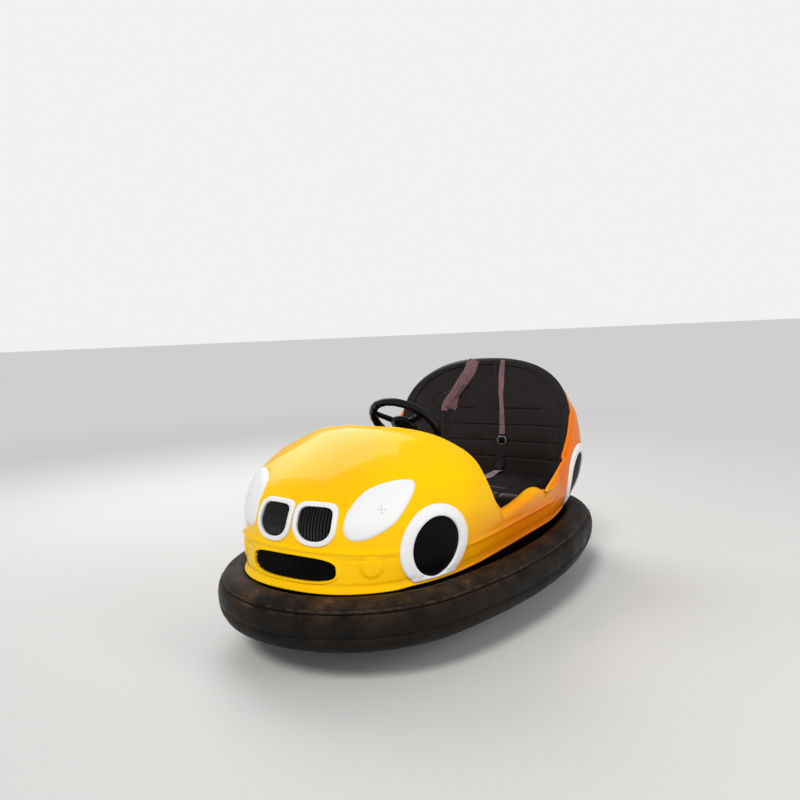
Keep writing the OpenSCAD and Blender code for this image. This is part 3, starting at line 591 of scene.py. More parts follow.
class BUMPER_OT_materials(bpy.types.Operator):
    """Makes every finish and gives the frame's own nodes theirs"""
    bl_idname = "bumper.materials"
    bl_label = "Make the finishes"

    def execute(self, context):
        c = colours()
        build_groups()
        # fade=True paints shade on the body's sides, back and sills
        gloss_finish("body_gelcoat", tuple(c.body), tuple(c.body_drift_and_shade), 0.24, fade=True)
        gloss_finish("white_gloss", tuple(c.trim), tuple(v * 0.96 for v in c.trim), 0.3, dust=0.015)
        gloss_finish("black_gloss", (0.003,) * 3, (0.006,) * 3, 0.25, dust=0.02, coat=0.35)
        gloss_finish("grille_black", (0.003,) * 3, (0.008,) * 3, 0.2, dust=0.03, coat=1.0)
        gloss_finish("flat_black", (0.002,) * 3, (0.004,) * 3, 0.5, dust=0.02, coat=0.05)
        gloss_finish("dark_moulding", (0.008, 0.008, 0.009), (0.014, 0.014, 0.014), 0.42, dust=0.08, coat=0.3)
        gloss_finish("wheel_plastic", (0.005, 0.005, 0.006), (0.01, 0.01, 0.01), 0.3, dust=0.02, coat=0.5)
        rubber_finish("bumper_rubber", tuple(c.tyre), (0.085, 0.052, 0.032), 0.55)
        rubber_finish("tyre_rubber", tuple(c.tyre), (0.10, 0.056, 0.030), 0.55, True)
        rubber_finish("wheel_rubber", (0.02, 0.02, 0.02), (0.12, 0.10, 0.08), 0.4)
        hide_finish("seat_hide", tuple(c.seat))
        metal_finish("frame_paint", (0.05, 0.05, 0.053), 0.5, 0.0, 0.35)
        metal_finish("black_paint", (0.012, 0.012, 0.013), 0.35, 0.0)
        metal_finish("bright_plate", (0.85, 0.85, 0.87), 0.3, 1.0, 0.02)
        webbing_finish("belt_webbing", tuple(c.webbing))
        # painted shade: the same webbing at 0.08 of its colour, the shaded copy beside the lit one, for the stretches
        # of belt shown in shade
        webbing_finish("shaded_webbing", tuple(v * 0.08 for v in c.webbing))
        lens_finish("red_lens", (0.45, 0.01, 0.01))
        gloss_finish("lamp_dot", (0.60, 0.45, 0.45), (0.65, 0.5, 0.5), 0.3)
        finish = {
            "body_shell": "body_gelcoat", "bumper_rubber": "bumper_rubber", "wheel_rubber": "wheel_rubber",
            "frame_steel": "frame_paint", "black_paint": "black_paint", "black_moulding": "dark_moulding",
            "white_trim": "white_gloss", "red_lens": "red_lens", "seat_hide": "seat_hide",
            "belt_webbing": "belt_webbing", "bright_metal": "bright_plate", "wheel_grip": "wheel_plastic",
        }
        for part in frame["record"]["subparts"]:
            data = frame["nodes"][part["node"]].data
            data.materials.clear()
            name = "flat_black" if part["node"] == "tyre_band" else finish[part["material_slot"]]
            data.materials.append(bpy.data.materials["finish_" + name])
        return {"FINISHED"}


# Body


# Trims on the car's middle or left side. A place is x, y, z, turn from the side to the tail and upward tilt in degrees.
# A sharp pair is the superellipse's sharpness above and below the middle. The headlamp's half sizes are its length, its
# height above and its height below
GRILLE = {"place": (87, -(RING_HALF_L - 166), 498, -83, 16), "half": (67, 56), "sharp": (4.5, 2.3), "frame": 17,
          "slats": 11, "lean": 0}
SLOT = {"place": (0, -(RING_HALF_L - 122), 356, -90, 0), "half": (172, 38), "sharp": (3.4, 3.4), "slats": 19,
        "lean": 30}
LAMP = {"place": (256, -(RING_HALF_L - 299), 535, -50, 15), "half": (143, 74, 65), "turn": 36}
FOG = {"place": (268, -(RING_HALF_L - 230), 366, -68, 0), "radius": 38}
WHEELS = {FRONT: (RING_HALF_W - 187, -(RING_HALF_L - 404), 403, -24, 0),
          REAR: (RING_HALF_W - 131, RING_HALF_L - 400, 433, 3, 0)}
TAIL_LAMP = {"place": (225, RING_HALF_L - 154, 560, 80, 0), "half": (95, 38)}
TRIM_HALF, DISC_HALF = (135, 142), (92, 103)


def ellipse(a, half):
    """Ellipse outline at angle a."""
    return half[0] * np.cos(a), half[1] * np.sin(a)


def rounded(a, half, grow, sharp):
    """Superellipse outline at angle a, grown by some millimetres, with its own sharpness above and below."""
    n = np.where(np.sin(a) >= 0, *sharp)
    return (half[0] + grow) * power(np.cos(a), 2 / n), (half[1] + grow) * power(np.sin(a), 2 / n)


def body_relief(p):
    """Height added to the skin: sum of the ledge, groove, bonnet crease, hem, flutes, side crease and scoop. Each is a
    hump or step across its own line, times steps that end it where it stops on the car."""
    x, y, z = np.abs(p[..., 0]), p[..., 1], p[..., 2]
    nose = step(-y - 560, 60)
    # the ledge above the bumper runs from the lower grille to the dummy wheel and steps out below its line
    line = 421 - 6 * step(x - 250, 60)
    ledge = (13 * step(line - z, 1.6) + 4 * bump(z - line + 6, 4)) * nose * step(334 - x, 12)
    groove = -3.2 * bump(z - 396 + 0.02 * x, 2.5) * nose * step(x - 196, 8) * step(335 - x, 10)
    # the bonnet's corners are full and meet its top at a crease that runs up and in, and its upper edge is lowered
    off_line = (x + 1.136 * z - 1017) / 1.51
    crown = step(z - 575, 25) * step(-y - 380, 40)
    panel = 8 * np.exp(-np.abs(off_line) / 16) * crown * step(x - 210, 30) * step(690 - z, 25)
    panel = panel - 12 * bump(z - 705, 40) * bump(x - 210, 110) * step(-y - 380, 50)
    panel = panel - 15 * bump(z - 695, 45) * bump(x - 335, 85) * step(-y - 300, 40)
    full = 10 * bump(z - 590, 45) * bump(x - 330, 60) * step(-y - 470, 40)
    hem = -4 * bump(z - 308, 4.5) * step(x + 400 - 0.2 * y, 50)
    # twin flutes between the grilles and the headlamps
    flute = sum(6.5 * bump(x - at - 0.28 * (578 - z), 5.5) * bump(z - mid, 24) for at, mid in ((154, 560), (178, 558)))
    flute = flute * nose
    # side: a crease runs level behind the front wheel, then turns up before the rear one, with a scoop below it
    below = 374 - z
    behind = 0.93 * (y - 318 - 0.38 * (z - 397))
    far = 14 * np.logaddexp(below / 14, behind / 14)
    side = step(x - 340, 25) * step(y + 425, 18) * step(620 - z, 40)
    crease = (6 * bump(far, 7) - 13 * step(far - 10, 6) * np.exp(-np.clip(far, 0, None) / 38)) * side
    # the tail's sides are drawn in a little
    tuck = -8 * step(y - 380, 60) * step(x - 380, 30)
    return ledge + groove + panel + full + hem + flute + crease + tuck


def relief_on(p):
    """Skin points moved by the body relief, away from the nearest point of the spine along the car's middle,
    and then shifted at the bonnet's free edge and at the tail's shoulders."""
    out = p * np.array([1.0, 1.0, 0.0])
    out[..., 1] -= np.sign(p[..., 1]) * np.minimum(np.abs(p[..., 1]), SPINE)
    length = np.linalg.norm(out, axis=-1, keepdims=True)
    moved = p + out / np.maximum(length, 1) * body_relief(p)[..., None]
    x, y, z = moved[..., 0], moved[..., 1], moved[..., 2]
    # the bonnet's free edge stands further forward above the sill, and further back near its top
    y -= 24 * step(z - 462, 22) * step(600 - z, 40) * step(y + 420, 80) * step(-20 - y, 60) * step(np.abs(x) - 340, 50)
    y += 10 * bump(z - 690, 50) * step(y + 450, 60) * step(-20 - y, 60) * step(np.abs(x) - 230, 50)
    # the tail's shoulders are drawn in and back behind the seat
    shoulder = step(p[..., 1] - 430, 60) * step(p[..., 2] - 735, 28) * step(np.abs(p[..., 0]) - 190, 60)
    x -= np.sign(p[..., 0]) * 26 * shoulder
    y += 10 * shoulder * step(700 - p[..., 1], 40)
    return moved


# Share of the way from nose to tail, and height of the sill's top there
SILL_ROWS = np.array([[0, 437], [0.18, 439], [0.36, 442], [0.5, 449], [0.62, 458], [0.72, 468], [0.79, 471],
                      [0.86, 464], [0.93, 452], [1, 440]], float)
# Width of the sill's top, and how far its outer wall ends below it
SILL_W, SILL_DROP = 64.0, 20.0


def sill_top(share):
    """Height of a sill's top along its length: straight between the rows, then a moving Hann average, with both ends
    kept."""
    dense = np.linspace(0, 1, 200)
    flat = np.interp(dense, SILL_ROWS[:, 0], SILL_ROWS[:, 1])
    kernel = np.hanning(31)
    soft = np.convolve(np.pad(flat, 15, "edge"), kernel / kernel.sum(), "valid")
    soft += (flat[0] - soft[0]) * (1 - dense) ** 8 + (flat[-1] - soft[-1]) * dense ** 8
    return np.interp(share, dense, soft)


class BUMPER_OT_body(bpy.types.Operator):
    """Makes the moulded body: one skin over nose, sides and tail, with its sills, rolled edges and bottom lip"""
    bl_idname = "bumper.body"
    bl_label = "Make the body"

    def execute(self, context):
        low_rows = np.linspace(0, BELT_TOP, BELT_ROWS)
        faces, points, start = [], [], 0
        grids = {}
        for way, cols in SKIN_COLUMNS.items():
            high = ROWS[way][ROWS[way][:, 0] > BELT_TOP, 0]
            high = np.interp(np.linspace(0, 1, HIGH_ROWS), np.linspace(0, 1, len(high)), high)
            h = np.concatenate([low_rows, high])
            a = np.linspace(0, math.pi, cols)
            grid = grids[way] = relief_on(shell_point(way, h[:, None], a[None, :]))
            quads = grid_faces(len(h), cols)
            crown = np.arange(cols) + (len(h) - 1) * cols
            if way == FRONT:
                quads = quads[~self.opening(grid.reshape(-1, 3)[quads].mean(1))][:, ::-1]
                crown = crown[::-1]
            points.append(grid.reshape(-1, 3))
            faces += (quads + start).tolist() + [(crown + start).tolist()]
            start += len(points[-1])
        for side_grid, flip in self.belt(grids, low_rows):
            quads = grid_faces(*side_grid.shape[:2], start=start)
            points.append(side_grid.reshape(-1, 3))
            faces += (quads[:, ::-1] if flip else quads).tolist()
            start += len(points[-1])
        skin = add_mesh("body_skin", np.concatenate(points), faces, "body_gelcoat", slot="body_shell",
                        replaces=("front_body", "rear_body", "sill_left", "sill_right"))
        self.weld(skin)
        wall(skin, sizes().wall, use_even_offset=False)
        self.rolled_edges(grids)
        self.lip(grids)
        self.sill_tops(grids)
        return {"FINISHED"}

    @staticmethod
    def opening(centre):
        """True for points of the nose inside a grille's opening, grown to end under the frame that covers its edge."""
        inside = np.zeros(len(centre), bool)
        nose = centre[:, 1] < -600
        for item, grow in ((GRILLE, 8), (SLOT, 5)):
            along, up, _ = axes(item["place"])
            for side in (1, -1):
                rel = centre * [side, 1, 1] - np.array(item["place"][:3])
                u, v = rel @ along, rel @ up
                n = np.where(v >= 0, *item["sharp"])
                share = (np.abs(u) / (item["half"][0] + grow)) ** n + (np.abs(v) / (item["half"][1] + grow)) ** n
                inside |= nose & (share < 1)
        return inside

    @staticmethod
    def belt(grids, rows):
        """Side walls between nose and tail: each row runs from one free edge to the other, its height scaled to end
        below the sill's top, with the half width of the level rows at that height and the relief on it."""
        n = len(rows)
        t = np.linspace(0, 1, 64)
        inner = (t > 0) & (t < 1)
        lift = np.where(inner, (sill_top(t) - SILL_DROP - SHELL_Z) / BELT_TOP, 1)
        out = []
        for col, flip in ((0, False), (-1, True)):
            front, rear = grids[FRONT][:n, col], grids[REAR][:n, col]
            grid = front[:, None] * (1 - t[None, :, None]) + rear[:, None] * t[None, :, None]
            grid[..., 2] = SHELL_Z + rows[:, None] * lift
            bare = grid[:, inner].copy()
            bare[..., 0] = np.sign(front[0, 0]) * columns(FRONT, bare[..., 2] - SHELL_Z)[0]
            grid[:, inner] = relief_on(bare)
            out.append((grid, flip))
        return out

    @staticmethod
    def weld(obj):
        """Joins the skin's parts where their edges meet and drops the points that no face uses."""
        mesh = bmesh.new()
        mesh.from_mesh(obj.data)
        bmesh.ops.remove_doubles(mesh, verts=mesh.verts, dist=SEAM)
        loose = [v for v in mesh.verts if not v.link_faces]
        bmesh.ops.delete(mesh, geom=loose, context="VERTS")
        mesh.to_mesh(obj.data)
        mesh.free()

    @staticmethod
    def rolled_edges(grids):
        """Rolled rims along the free edges of nose and tail: a round section carried just inside the skin's edge, which
        turns from inwards at the foot to downwards at the top."""
        for way, name in ((FRONT, "cowl_rim"), (REAR, "tail_rim")):
            grid = grids[way]
            left, right = grid[BELT_ROWS - 1:, 0], grid[BELT_ROWS - 1:, -1]
            span = np.linspace(left[-1], right[-1], 12)[1:-1]
            path = np.concatenate([left, span, right[::-1]])
            inward = -path * np.array([1.0, 0, 0])
            inward /= np.maximum(np.linalg.norm(inward, axis=1), 1)[:, None]
            height = (path[:, 2] - SHELL_Z) / grid[-1, 0, 2]
            inward = inward * (1 - height[:, None]) - np.array([0, 0, 1.0]) * height[:, None]
            tube(name, path + inward * 5, 6.5, "body_gelcoat", 10, slot="body_shell")

    @staticmethod
    def lip(grids):
        """Turned-out lip round the bottom: a small hooked section carried round the body's base."""
        base = np.concatenate([grids[FRONT][0], grids[REAR][0][::-1]])
        base = base[np.append(np.linalg.norm(np.diff(base, axis=0), axis=1) > 2, True)]
        out = np.cross([0, 0, 1.0], unit(np.roll(base, -1, 0) - np.roll(base, 1, 0)))
        out *= np.sign(np.sum(out * base, axis=1, keepdims=True))
        up = np.broadcast_to([0, 0, 1.0], out.shape)
        section = np.array([(-9, -6), (3, -6), (6, -5.4), (7.4, -3.4), (6.8, -1.2), (4, 0.6), (1.6, 3), (0.4, 8),
                            (-9, 8)], float)
        swept("body_rim", base, out, up, section, "body_gelcoat", slot="body_shell", replaces=("body_lip",))

    @staticmethod
    def sill_tops(grids):
        """Sill tops: a section from the outer wall over a rounded top and down the inner wall, carried along the
        sill's height."""
        t = np.linspace(-0.06, 1.04, 70)
        front_y, rear_y = grids[FRONT][BELT_ROWS - 1, 0, 1], grids[REAR][BELT_ROWS - 1, 0, 1]
        y = front_y + t * (rear_y - front_y)
        wall_z = sill_top(t) - SILL_DROP
        out_x = columns(FRONT, wall_z - SHELL_Z)[0]
        q = np.linspace(0, math.pi / 2, 9)
        outer = np.stack([-22 + 22 * np.cos(q), SILL_DROP * np.sin(q)], -1)
        inner = np.stack([-22 - 42 * np.sin(q), -14 + (SILL_DROP + 14) * np.cos(q)], -1)[1:]
        foot = [[-SILL_W, -40], [-SILL_W + 2, -140], [-SILL_W + 12, -140], [-10, -16]]
        section = np.concatenate([outer, inner, foot])
        for side in (1, -1):
            centre = np.stack([out_x * side, y, wall_z], -1)
            a = np.broadcast_to([side * 1.0, 0, 0], centre.shape)
            b = np.broadcast_to([0, 0, 1.0], centre.shape)
            swept(f"sill_top_{side_name(side)}", centre, a, b, section, "body_gelcoat", False, slot="body_shell")


# Trims on the skin


def on_skin_grid(way, place, u, v, h, side=1):
    """Grid of points laid on the skin with its relief and raised by h along the place's normal. Side -1 mirrors it."""
    lifted = relief_on(laid(way, place, u, v)) + h[..., None] * axes(place)[2]
    return lifted * np.array([side, 1.0, 1.0])


def ringed(name, way, place, outer, inner, section, side, material, **kw):
    """Band between two outlines on the skin. The section's points are (share of the way inwards, height)."""
    s = section[:, 0][None, :]
    u = outer[0][:, None] * (1 - s) + inner[0][:, None] * s
    v = outer[1][:, None] * (1 - s) + inner[1][:, None] * s
    grid = on_skin_grid(way, place, u, v, np.broadcast_to(section[:, 1], u.shape), side)
    return outward(add_mesh(name, grid, grid_faces(*u.shape, True, True), material, **kw))


def domed(name, way, place, outline, height, side, material, rings=14, under=-4.0, **kw):
    """Closed cap on the skin: an outline scaled to its middle, at a height that is a function of the scale, and back
    to the middle below the skin."""
    s = np.linspace(0.02, 1, rings)
    h = np.concatenate([height(s), [under] * 3])
    s = np.concatenate([s, [1.0, 0.6, 0.02]])
    u, v = outline[0][:, None] * s, outline[1][:, None] * s
    grid = on_skin_grid(way, place, u, v, np.broadcast_to(h, u.shape), side)
    return outward(add_mesh(name, grid, capped_faces(*u.shape), material, **kw))


# Section of a white band: share of the way inwards, and height
BAND = np.array([(0, -3), (0, 4), (0.04, 6.6), (0.12, 8.4), (0.3, 9), (0.7, 9), (0.88, 8.4), (0.96, 6.6), (1, 4),
                 (1, -9)], float)


class BUMPER_OT_nose_trim(bpy.types.Operator):
    """Makes the grilles with their frames, the headlamps and the fog lamp caps"""
    bl_idname = "bumper.nose_trim"
    bl_label = "Make the nose trim"

    def execute(self, context):
        a = circle(120)
        for side in (1, -1):
            label = side_name(side)
            outer, inner = (rounded(a, GRILLE["half"], grow, GRILLE["sharp"]) for grow in (GRILLE["frame"], 0))
            ringed(f"grille_surround_{label}", FRONT, GRILLE["place"], outer, inner, BAND, side, "white_gloss",
                   slot="white_trim", replaces=(f"grille_frame_{label}",))
            self.slatted(f"grille_slats_{label}", GRILLE, side, 9, "grille_black", f"grille_{label}")
            self.headlamp(side)
            domed(f"fog_cap_{label}", FRONT, FOG["place"], ellipse(a, (FOG["radius"],) * 2),
                  lambda s: 5.6 * (1 - s ** 18) - 3.4 * step(s - 0.76, 0.05) * step(0.95 - s, 0.03), side,
                  "body_gelcoat", 22, slot="body_shell", replaces=("fog_caps",))
        self.slatted("grille_slats_low", SLOT, 1, 6, "flat_black", "lower_grille")
        outer = rounded(a, (SLOT["half"][0] + 1, SLOT["half"][1]), 12, (3.2, 3.2))
        inner = rounded(a, SLOT["half"], 1, SLOT["sharp"])
        section = np.array([(0, -4), (0, -0.5), (0.2, 1.5), (0.45, 3.4), (0.7, 4.2), (0.88, 3.4), (0.97, 1.2), (1, -4),
                            (1, -13), (0.8, -13)], float)
        ringed("grille_lip_low", FRONT, SLOT["place"], outer, inner, section, 1, "body_gelcoat", slot="body_shell")
        return {"FINISHED"}

    @staticmethod
    def slatted(name, item, side, depth, material, replaced):
        """Black insert: a plate 15 mm below the skin, with slats as a power of a cosine across the opening's width."""
        half, sharp, count = item["half"], item["sharp"], item["slats"]
        s = np.linspace(-0.995, 0.995, count * 14)
        up, down = (half[1] * (1 - np.abs(s) ** n) ** (1 / n) for n in sharp)
        t = np.linspace(0, 1, 40)
        v = -down[:, None] * (1 - t) + up[:, None] * t
        u = np.broadcast_to((s * half[0])[:, None], v.shape)
        phase = (u + v * math.tan(math.radians(item["lean"]))) / (2 * half[0] / count)
        wave = 0.5 + 0.5 * np.cos(2 * math.pi * phase)
        grid = on_skin_grid(FRONT, item["place"], u, v, -15 + depth * wave ** 0.6, side)
        obj = add_mesh(name, grid, grid_faces(*u.shape), material, slot="black_moulding", replaces=(replaced,))
        if side < 0:
            obj.data.flip_normals()
        wall(obj, 0.002)

    @staticmethod
    def headlamp(side):
        """White leaf: a dome on the leaf outline with a rounded edge and a few small lamp points in its middle."""
        a = circle(96)
        length, high, low = LAMP["half"]
        u = length * np.cos(a)
        v = np.where(a < math.pi, high, low) * np.sin(a) * (1 - 0.4 * np.maximum(0, np.cos(a)) ** 1.2)
        turn = math.radians(LAMP["turn"])
        outline = (u * math.cos(turn) - v * math.sin(turn), u * math.sin(turn) + v * math.cos(turn))
        label = side_name(side)
        domed(f"headlamp_lens_{label}", FRONT, LAMP["place"], outline, lambda s: 7 * (1 - s ** 9) ** 0.5, side,
              "white_gloss", 26, slot="white_trim", replaces=(f"headlamp_{label}",))
        spots = [(0.0, 0.0)] + [(9 * math.cos(t), 9 * math.sin(t)) for t in np.arange(4) * math.pi / 2]
        along, up, _ = axes(LAMP["place"])
        for k, (du, dv) in enumerate(spots):
            place = np.array(LAMP["place"][:3], float) + (2 + du) * along + (-4 + dv) * up
            domed(f"lamp_dot_{label}_{k + 1}", FRONT, (*place, *LAMP["place"][3:]), ellipse(circle(12), (2.6, 2.6)),
                  lambda s: 7.3 + 0.8 * (1 - s ** 2), side, "lamp_dot", 5, under=5.0, slot="white_trim")


class BUMPER_OT_wheel_trim(bpy.types.Operator):
    """Makes the dummy wheels, each a white ring with a black disc set a little below it, and the tail lamps"""
    bl_idname = "bumper.wheel_trim"
    bl_label = "Make the dummy wheels and tail lamps"

    def execute(self, context):
        a = circle(120)
        section = BAND * [1, sizes().ring_rise / MM / BAND[:, 1].max()]
        for way, end in ((FRONT, "front"), (REAR, "rear")):
            place = WHEELS[way]
            x, y = ellipse(a, TRIM_HALF)
            outer, inner = (x, np.maximum(y, SHELL_Z + 3 - place[2])), ellipse(a, DISC_HALF)
            for side in (1, -1):
                label = side_name(side)
                ringed(f"{end}_ring_{label}", way, place, outer, inner, section, side, "white_gloss", slot="white_trim",
                       replaces=(f"{end}_trim_{label}",))
                domed(f"{end}_hub_{label}", way, place, (inner[0] * 0.995, inner[1] * 0.995),
                      lambda s: 1.5 + 2.5 * (1 - s ** 2), side, "flat_black", 12, slot="black_moulding",
                      replaces=(f"{end}_disc_{label}",))
        place, half = TAIL_LAMP["place"], np.array(TAIL_LAMP["half"])
        for side in (1, -1):
            label = side_name(side)
            domed(f"tail_lens_{label}", REAR, place, ellipse(a, half), lambda s: 11 * (1 - s ** 6) ** 0.6, side,
                  "red_lens", 16, slot="red_lens", replaces=("tail_lamps",))
            ringed(f"tail_bezel_{label}", REAR, place, ellipse(a, half + 9), ellipse(a, half - 1), BAND * [1, 0.55],
                   side, "white_gloss", slot="white_trim")
        return {"FINISHED"}


# Bumper tyre


class BUMPER_OT_tyre(bpy.types.Operator):
    """Makes the bumper tyre with its ribs, grooves and the fine hairs left by its mould"""
    bl_idname = "bumper.tyre"
    bl_label = "Make the bumper tyre"

    def execute(self, context):
        mid = (TYRE_TOP + TYRE_LOW) / 2
        half = (TYRE_TOP - TYRE_LOW) / 2
        # section: distance from the inner edge, and height as a share of half the tyre's height
        section = np.array([
            [0, -0.66], [16, -0.90], [40, -1.0], [82, -1.0], [110, -0.93], [130, -0.78], [141, -0.55], [146, -0.32],
            [142, -0.25], [147, -0.18], [148, 0.06], [146, 0.28], [142, 0.44], [138, 0.54], [130, 0.58], [129, 0.69],
            [122, 0.79], [108, 0.92], [84, 1.0], [60, 0.97], [42, 0.88], [26, 0.72], [12, 0.54], [0, 0.46]])
        n, rows = 110, len(section)
        inner, outer = np.stack(oval(TYRE_W, n), -1), np.stack(oval(0, n), -1)
        flat = np.zeros((n, 1))
        out = np.hstack([(outer - inner) / TYRE_W, flat])
        up = np.broadcast_to([0, 0, 1.0], out.shape)
        ring = swept("tyre_ring", np.hstack([inner, flat + mid]), out, up, section * [1, half], "tyre_rubber",
                     slot="bumper_rubber", replaces=("bumper_tyre",))
        # UV: u along the oval in metres, v from 0 at the section's first point to 1 at its last
        index = np.arange(n * rows)
        set_uv(ring, run_length(outer)[index // rows] * MM, index % rows / (rows - 1))
        self.hairs(mid, half)
        return {"FINISHED"}

    @staticmethod
    def hairs(mid, half):
        """Short rubber hairs at seeded places on the tyre's outer side, each a thin three-sided spike."""
        rng = np.random.default_rng(5)
        count = sizes().hair_count
        places = 600
        x, y = oval(0, places)
        ix, iy = oval(10, places)
        pick = rng.integers(0, places, count)
        out = np.stack([x - ix, y - iy], -1)[pick] / 10
        z = mid + np.where(np.arange(count) % 2 == 0, 0.50, rng.uniform(-0.5, 0.3, count)) * half
        depth = (1 - np.sqrt(np.clip(1 - np.abs((z - mid) / half) ** 2.5, 0, 1))) * 60 + 3
        root = np.stack([x[pick] - out[:, 0] * depth, y[pick] - out[:, 1] * depth, z], -1)
        droop = rng.uniform(-0.5, 0.2, count)
        length = rng.uniform(5, 20, count)
        tip = root + np.stack([out[:, 0], out[:, 1], droop], -1) * length[:, None]
        ring = np.stack(ellipse(circle(3), (0.9, 0.9)), -1)
        turn = np.stack([-out[:, 1], out[:, 0], 0 * out[:, 0]], -1)
        base = root[:, None] + ring[None, :, :1] * turn[:, None] + ring[None, :, 1:] * np.array([0, 0, 1.0])
        points = np.concatenate([base, tip[:, None]], 1).reshape(-1, 3)
        corner = np.arange(count)[:, None, None] * 4
        faces = (corner + np.array([[0, 1, 3], [1, 2, 3], [2, 0, 3], [2, 1, 0]])).reshape(-1, 3)
        outward(add_mesh("tyre_hairs", points, faces, "bumper_rubber", slot="bumper_rubber"))


# Seat and belts


SEAT_HALF_W, _, SEAT_TOP = box_mm("seat_back")[1]
CUSHION_HALF_W, _, CUSHION_Z = box_mm("seat_cushion")[1]
_, CUSHION_Y, CUSHION_LOW = box_mm("seat_cushion")[0]
BACK_Y = RING_HALF_L - 433
# Lean of the seat back in degrees, its middle level and the level where its arch starts
BACK_LEAN = 7.0
BACK_MID = 650.0
ARCH_FOOT = 640.0
# Lowest level and inner edge of the seat back's two sewn panels, and half width and front seam of the cushion's
PANEL_LOW, PANEL_IN = 723, 57
PAD_HALF, PAD_SEAM = 285, 95


def seat_face(x, z):
    """Front face of the seat back: a leaning plane whose sides wrap forward with the fourth power of x."""
    return BACK_Y + (z - CUSHION_Z) * math.tan(math.radians(BACK_LEAN)) - 60 * (np.abs(x) / SEAT_HALF_W) ** 4


def seat_outline(n):
    """Arch outline about its middle: a straight foot, leaning sides and a superellipse arch, evenly spaced."""
    a = np.linspace(0, math.pi, 200)
    c, s = np.cos(a), np.clip(np.sin(a), 0, 1)
    arch = np.stack([SEAT_HALF_W * power(c, 2 / 2.4),
                     ARCH_FOOT - BACK_MID + (SEAT_TOP - ARCH_FOOT) * s ** (2 / 2.4)], -1)
    foot = CUSHION_LOW - BACK_MID
    left = [[-SEAT_HALF_W + 24, CUSHION_Z + 40 - BACK_MID], [-CUSHION_HALF_W, foot]]
    right = [[CUSHION_HALF_W, foot], [SEAT_HALF_W - 24, CUSHION_Z + 40 - BACK_MID]]
    loop = np.concatenate([arch, left, right, arch[:1]])
    d = run_length(loop)
    t = np.linspace(0, d[-1], n, endpoint=False)
    return np.stack([np.interp(t, d, loop[:, 0]), np.interp(t, d, loop[:, 1])], -1)


def seat_relief(x, z, s):
    """Padding of the seat back: border roll with its piping, two panels with a sewn edge, sewn channels and a slight
    crown. s is the share of the way from the middle to the outline."""
    border = sizes().roll / MM
    roll = border * (step(s - 0.905, 0.006) - 0.4 * step(s - 0.985, 0.01)) + 1.6 * bump(s - 0.965, 0.005)
    crown = 10 * np.clip(1 - s ** 2, 0, 1) * bump(np.abs(x) - 190, 190)
    # a panel is a quarter of a superellipse, and far is a distance that counts as off its edge
    far = 99
    off, above = np.abs(x) - PANEL_IN, z - PANEL_LOW
    depth = (np.clip(off, 0, None) / 236) ** 2.4 + (np.clip(above, 0, None) / 96) ** 2.4
    arc = np.abs(1 - np.clip(depth, 0, 4)) * 60
    upright = np.where(depth < 1, np.abs(off), far)
    level = np.where((depth < 1) & (off > 0), np.abs(above), far)
    edge = np.where((off > -8) & (above > -8), np.minimum(arc, np.minimum(upright, level)), far)
    inside = (off > 0) & (above > 0) & (depth < 1)
    panel = 1.8 * inside * np.clip(edge / 8, 0, 1) - 3.4 * bump(edge, 2.4)
    within = step(0.885 - s, 0.008)
    channels = sum(-4.6 * bump(z - at, 2.4) for at in (647, 571, 497)) * within
    swell = sum(1.5 * bump(z - at, 28) for at in (609, 534)) * within
    return roll + crown + panel + channels + swell


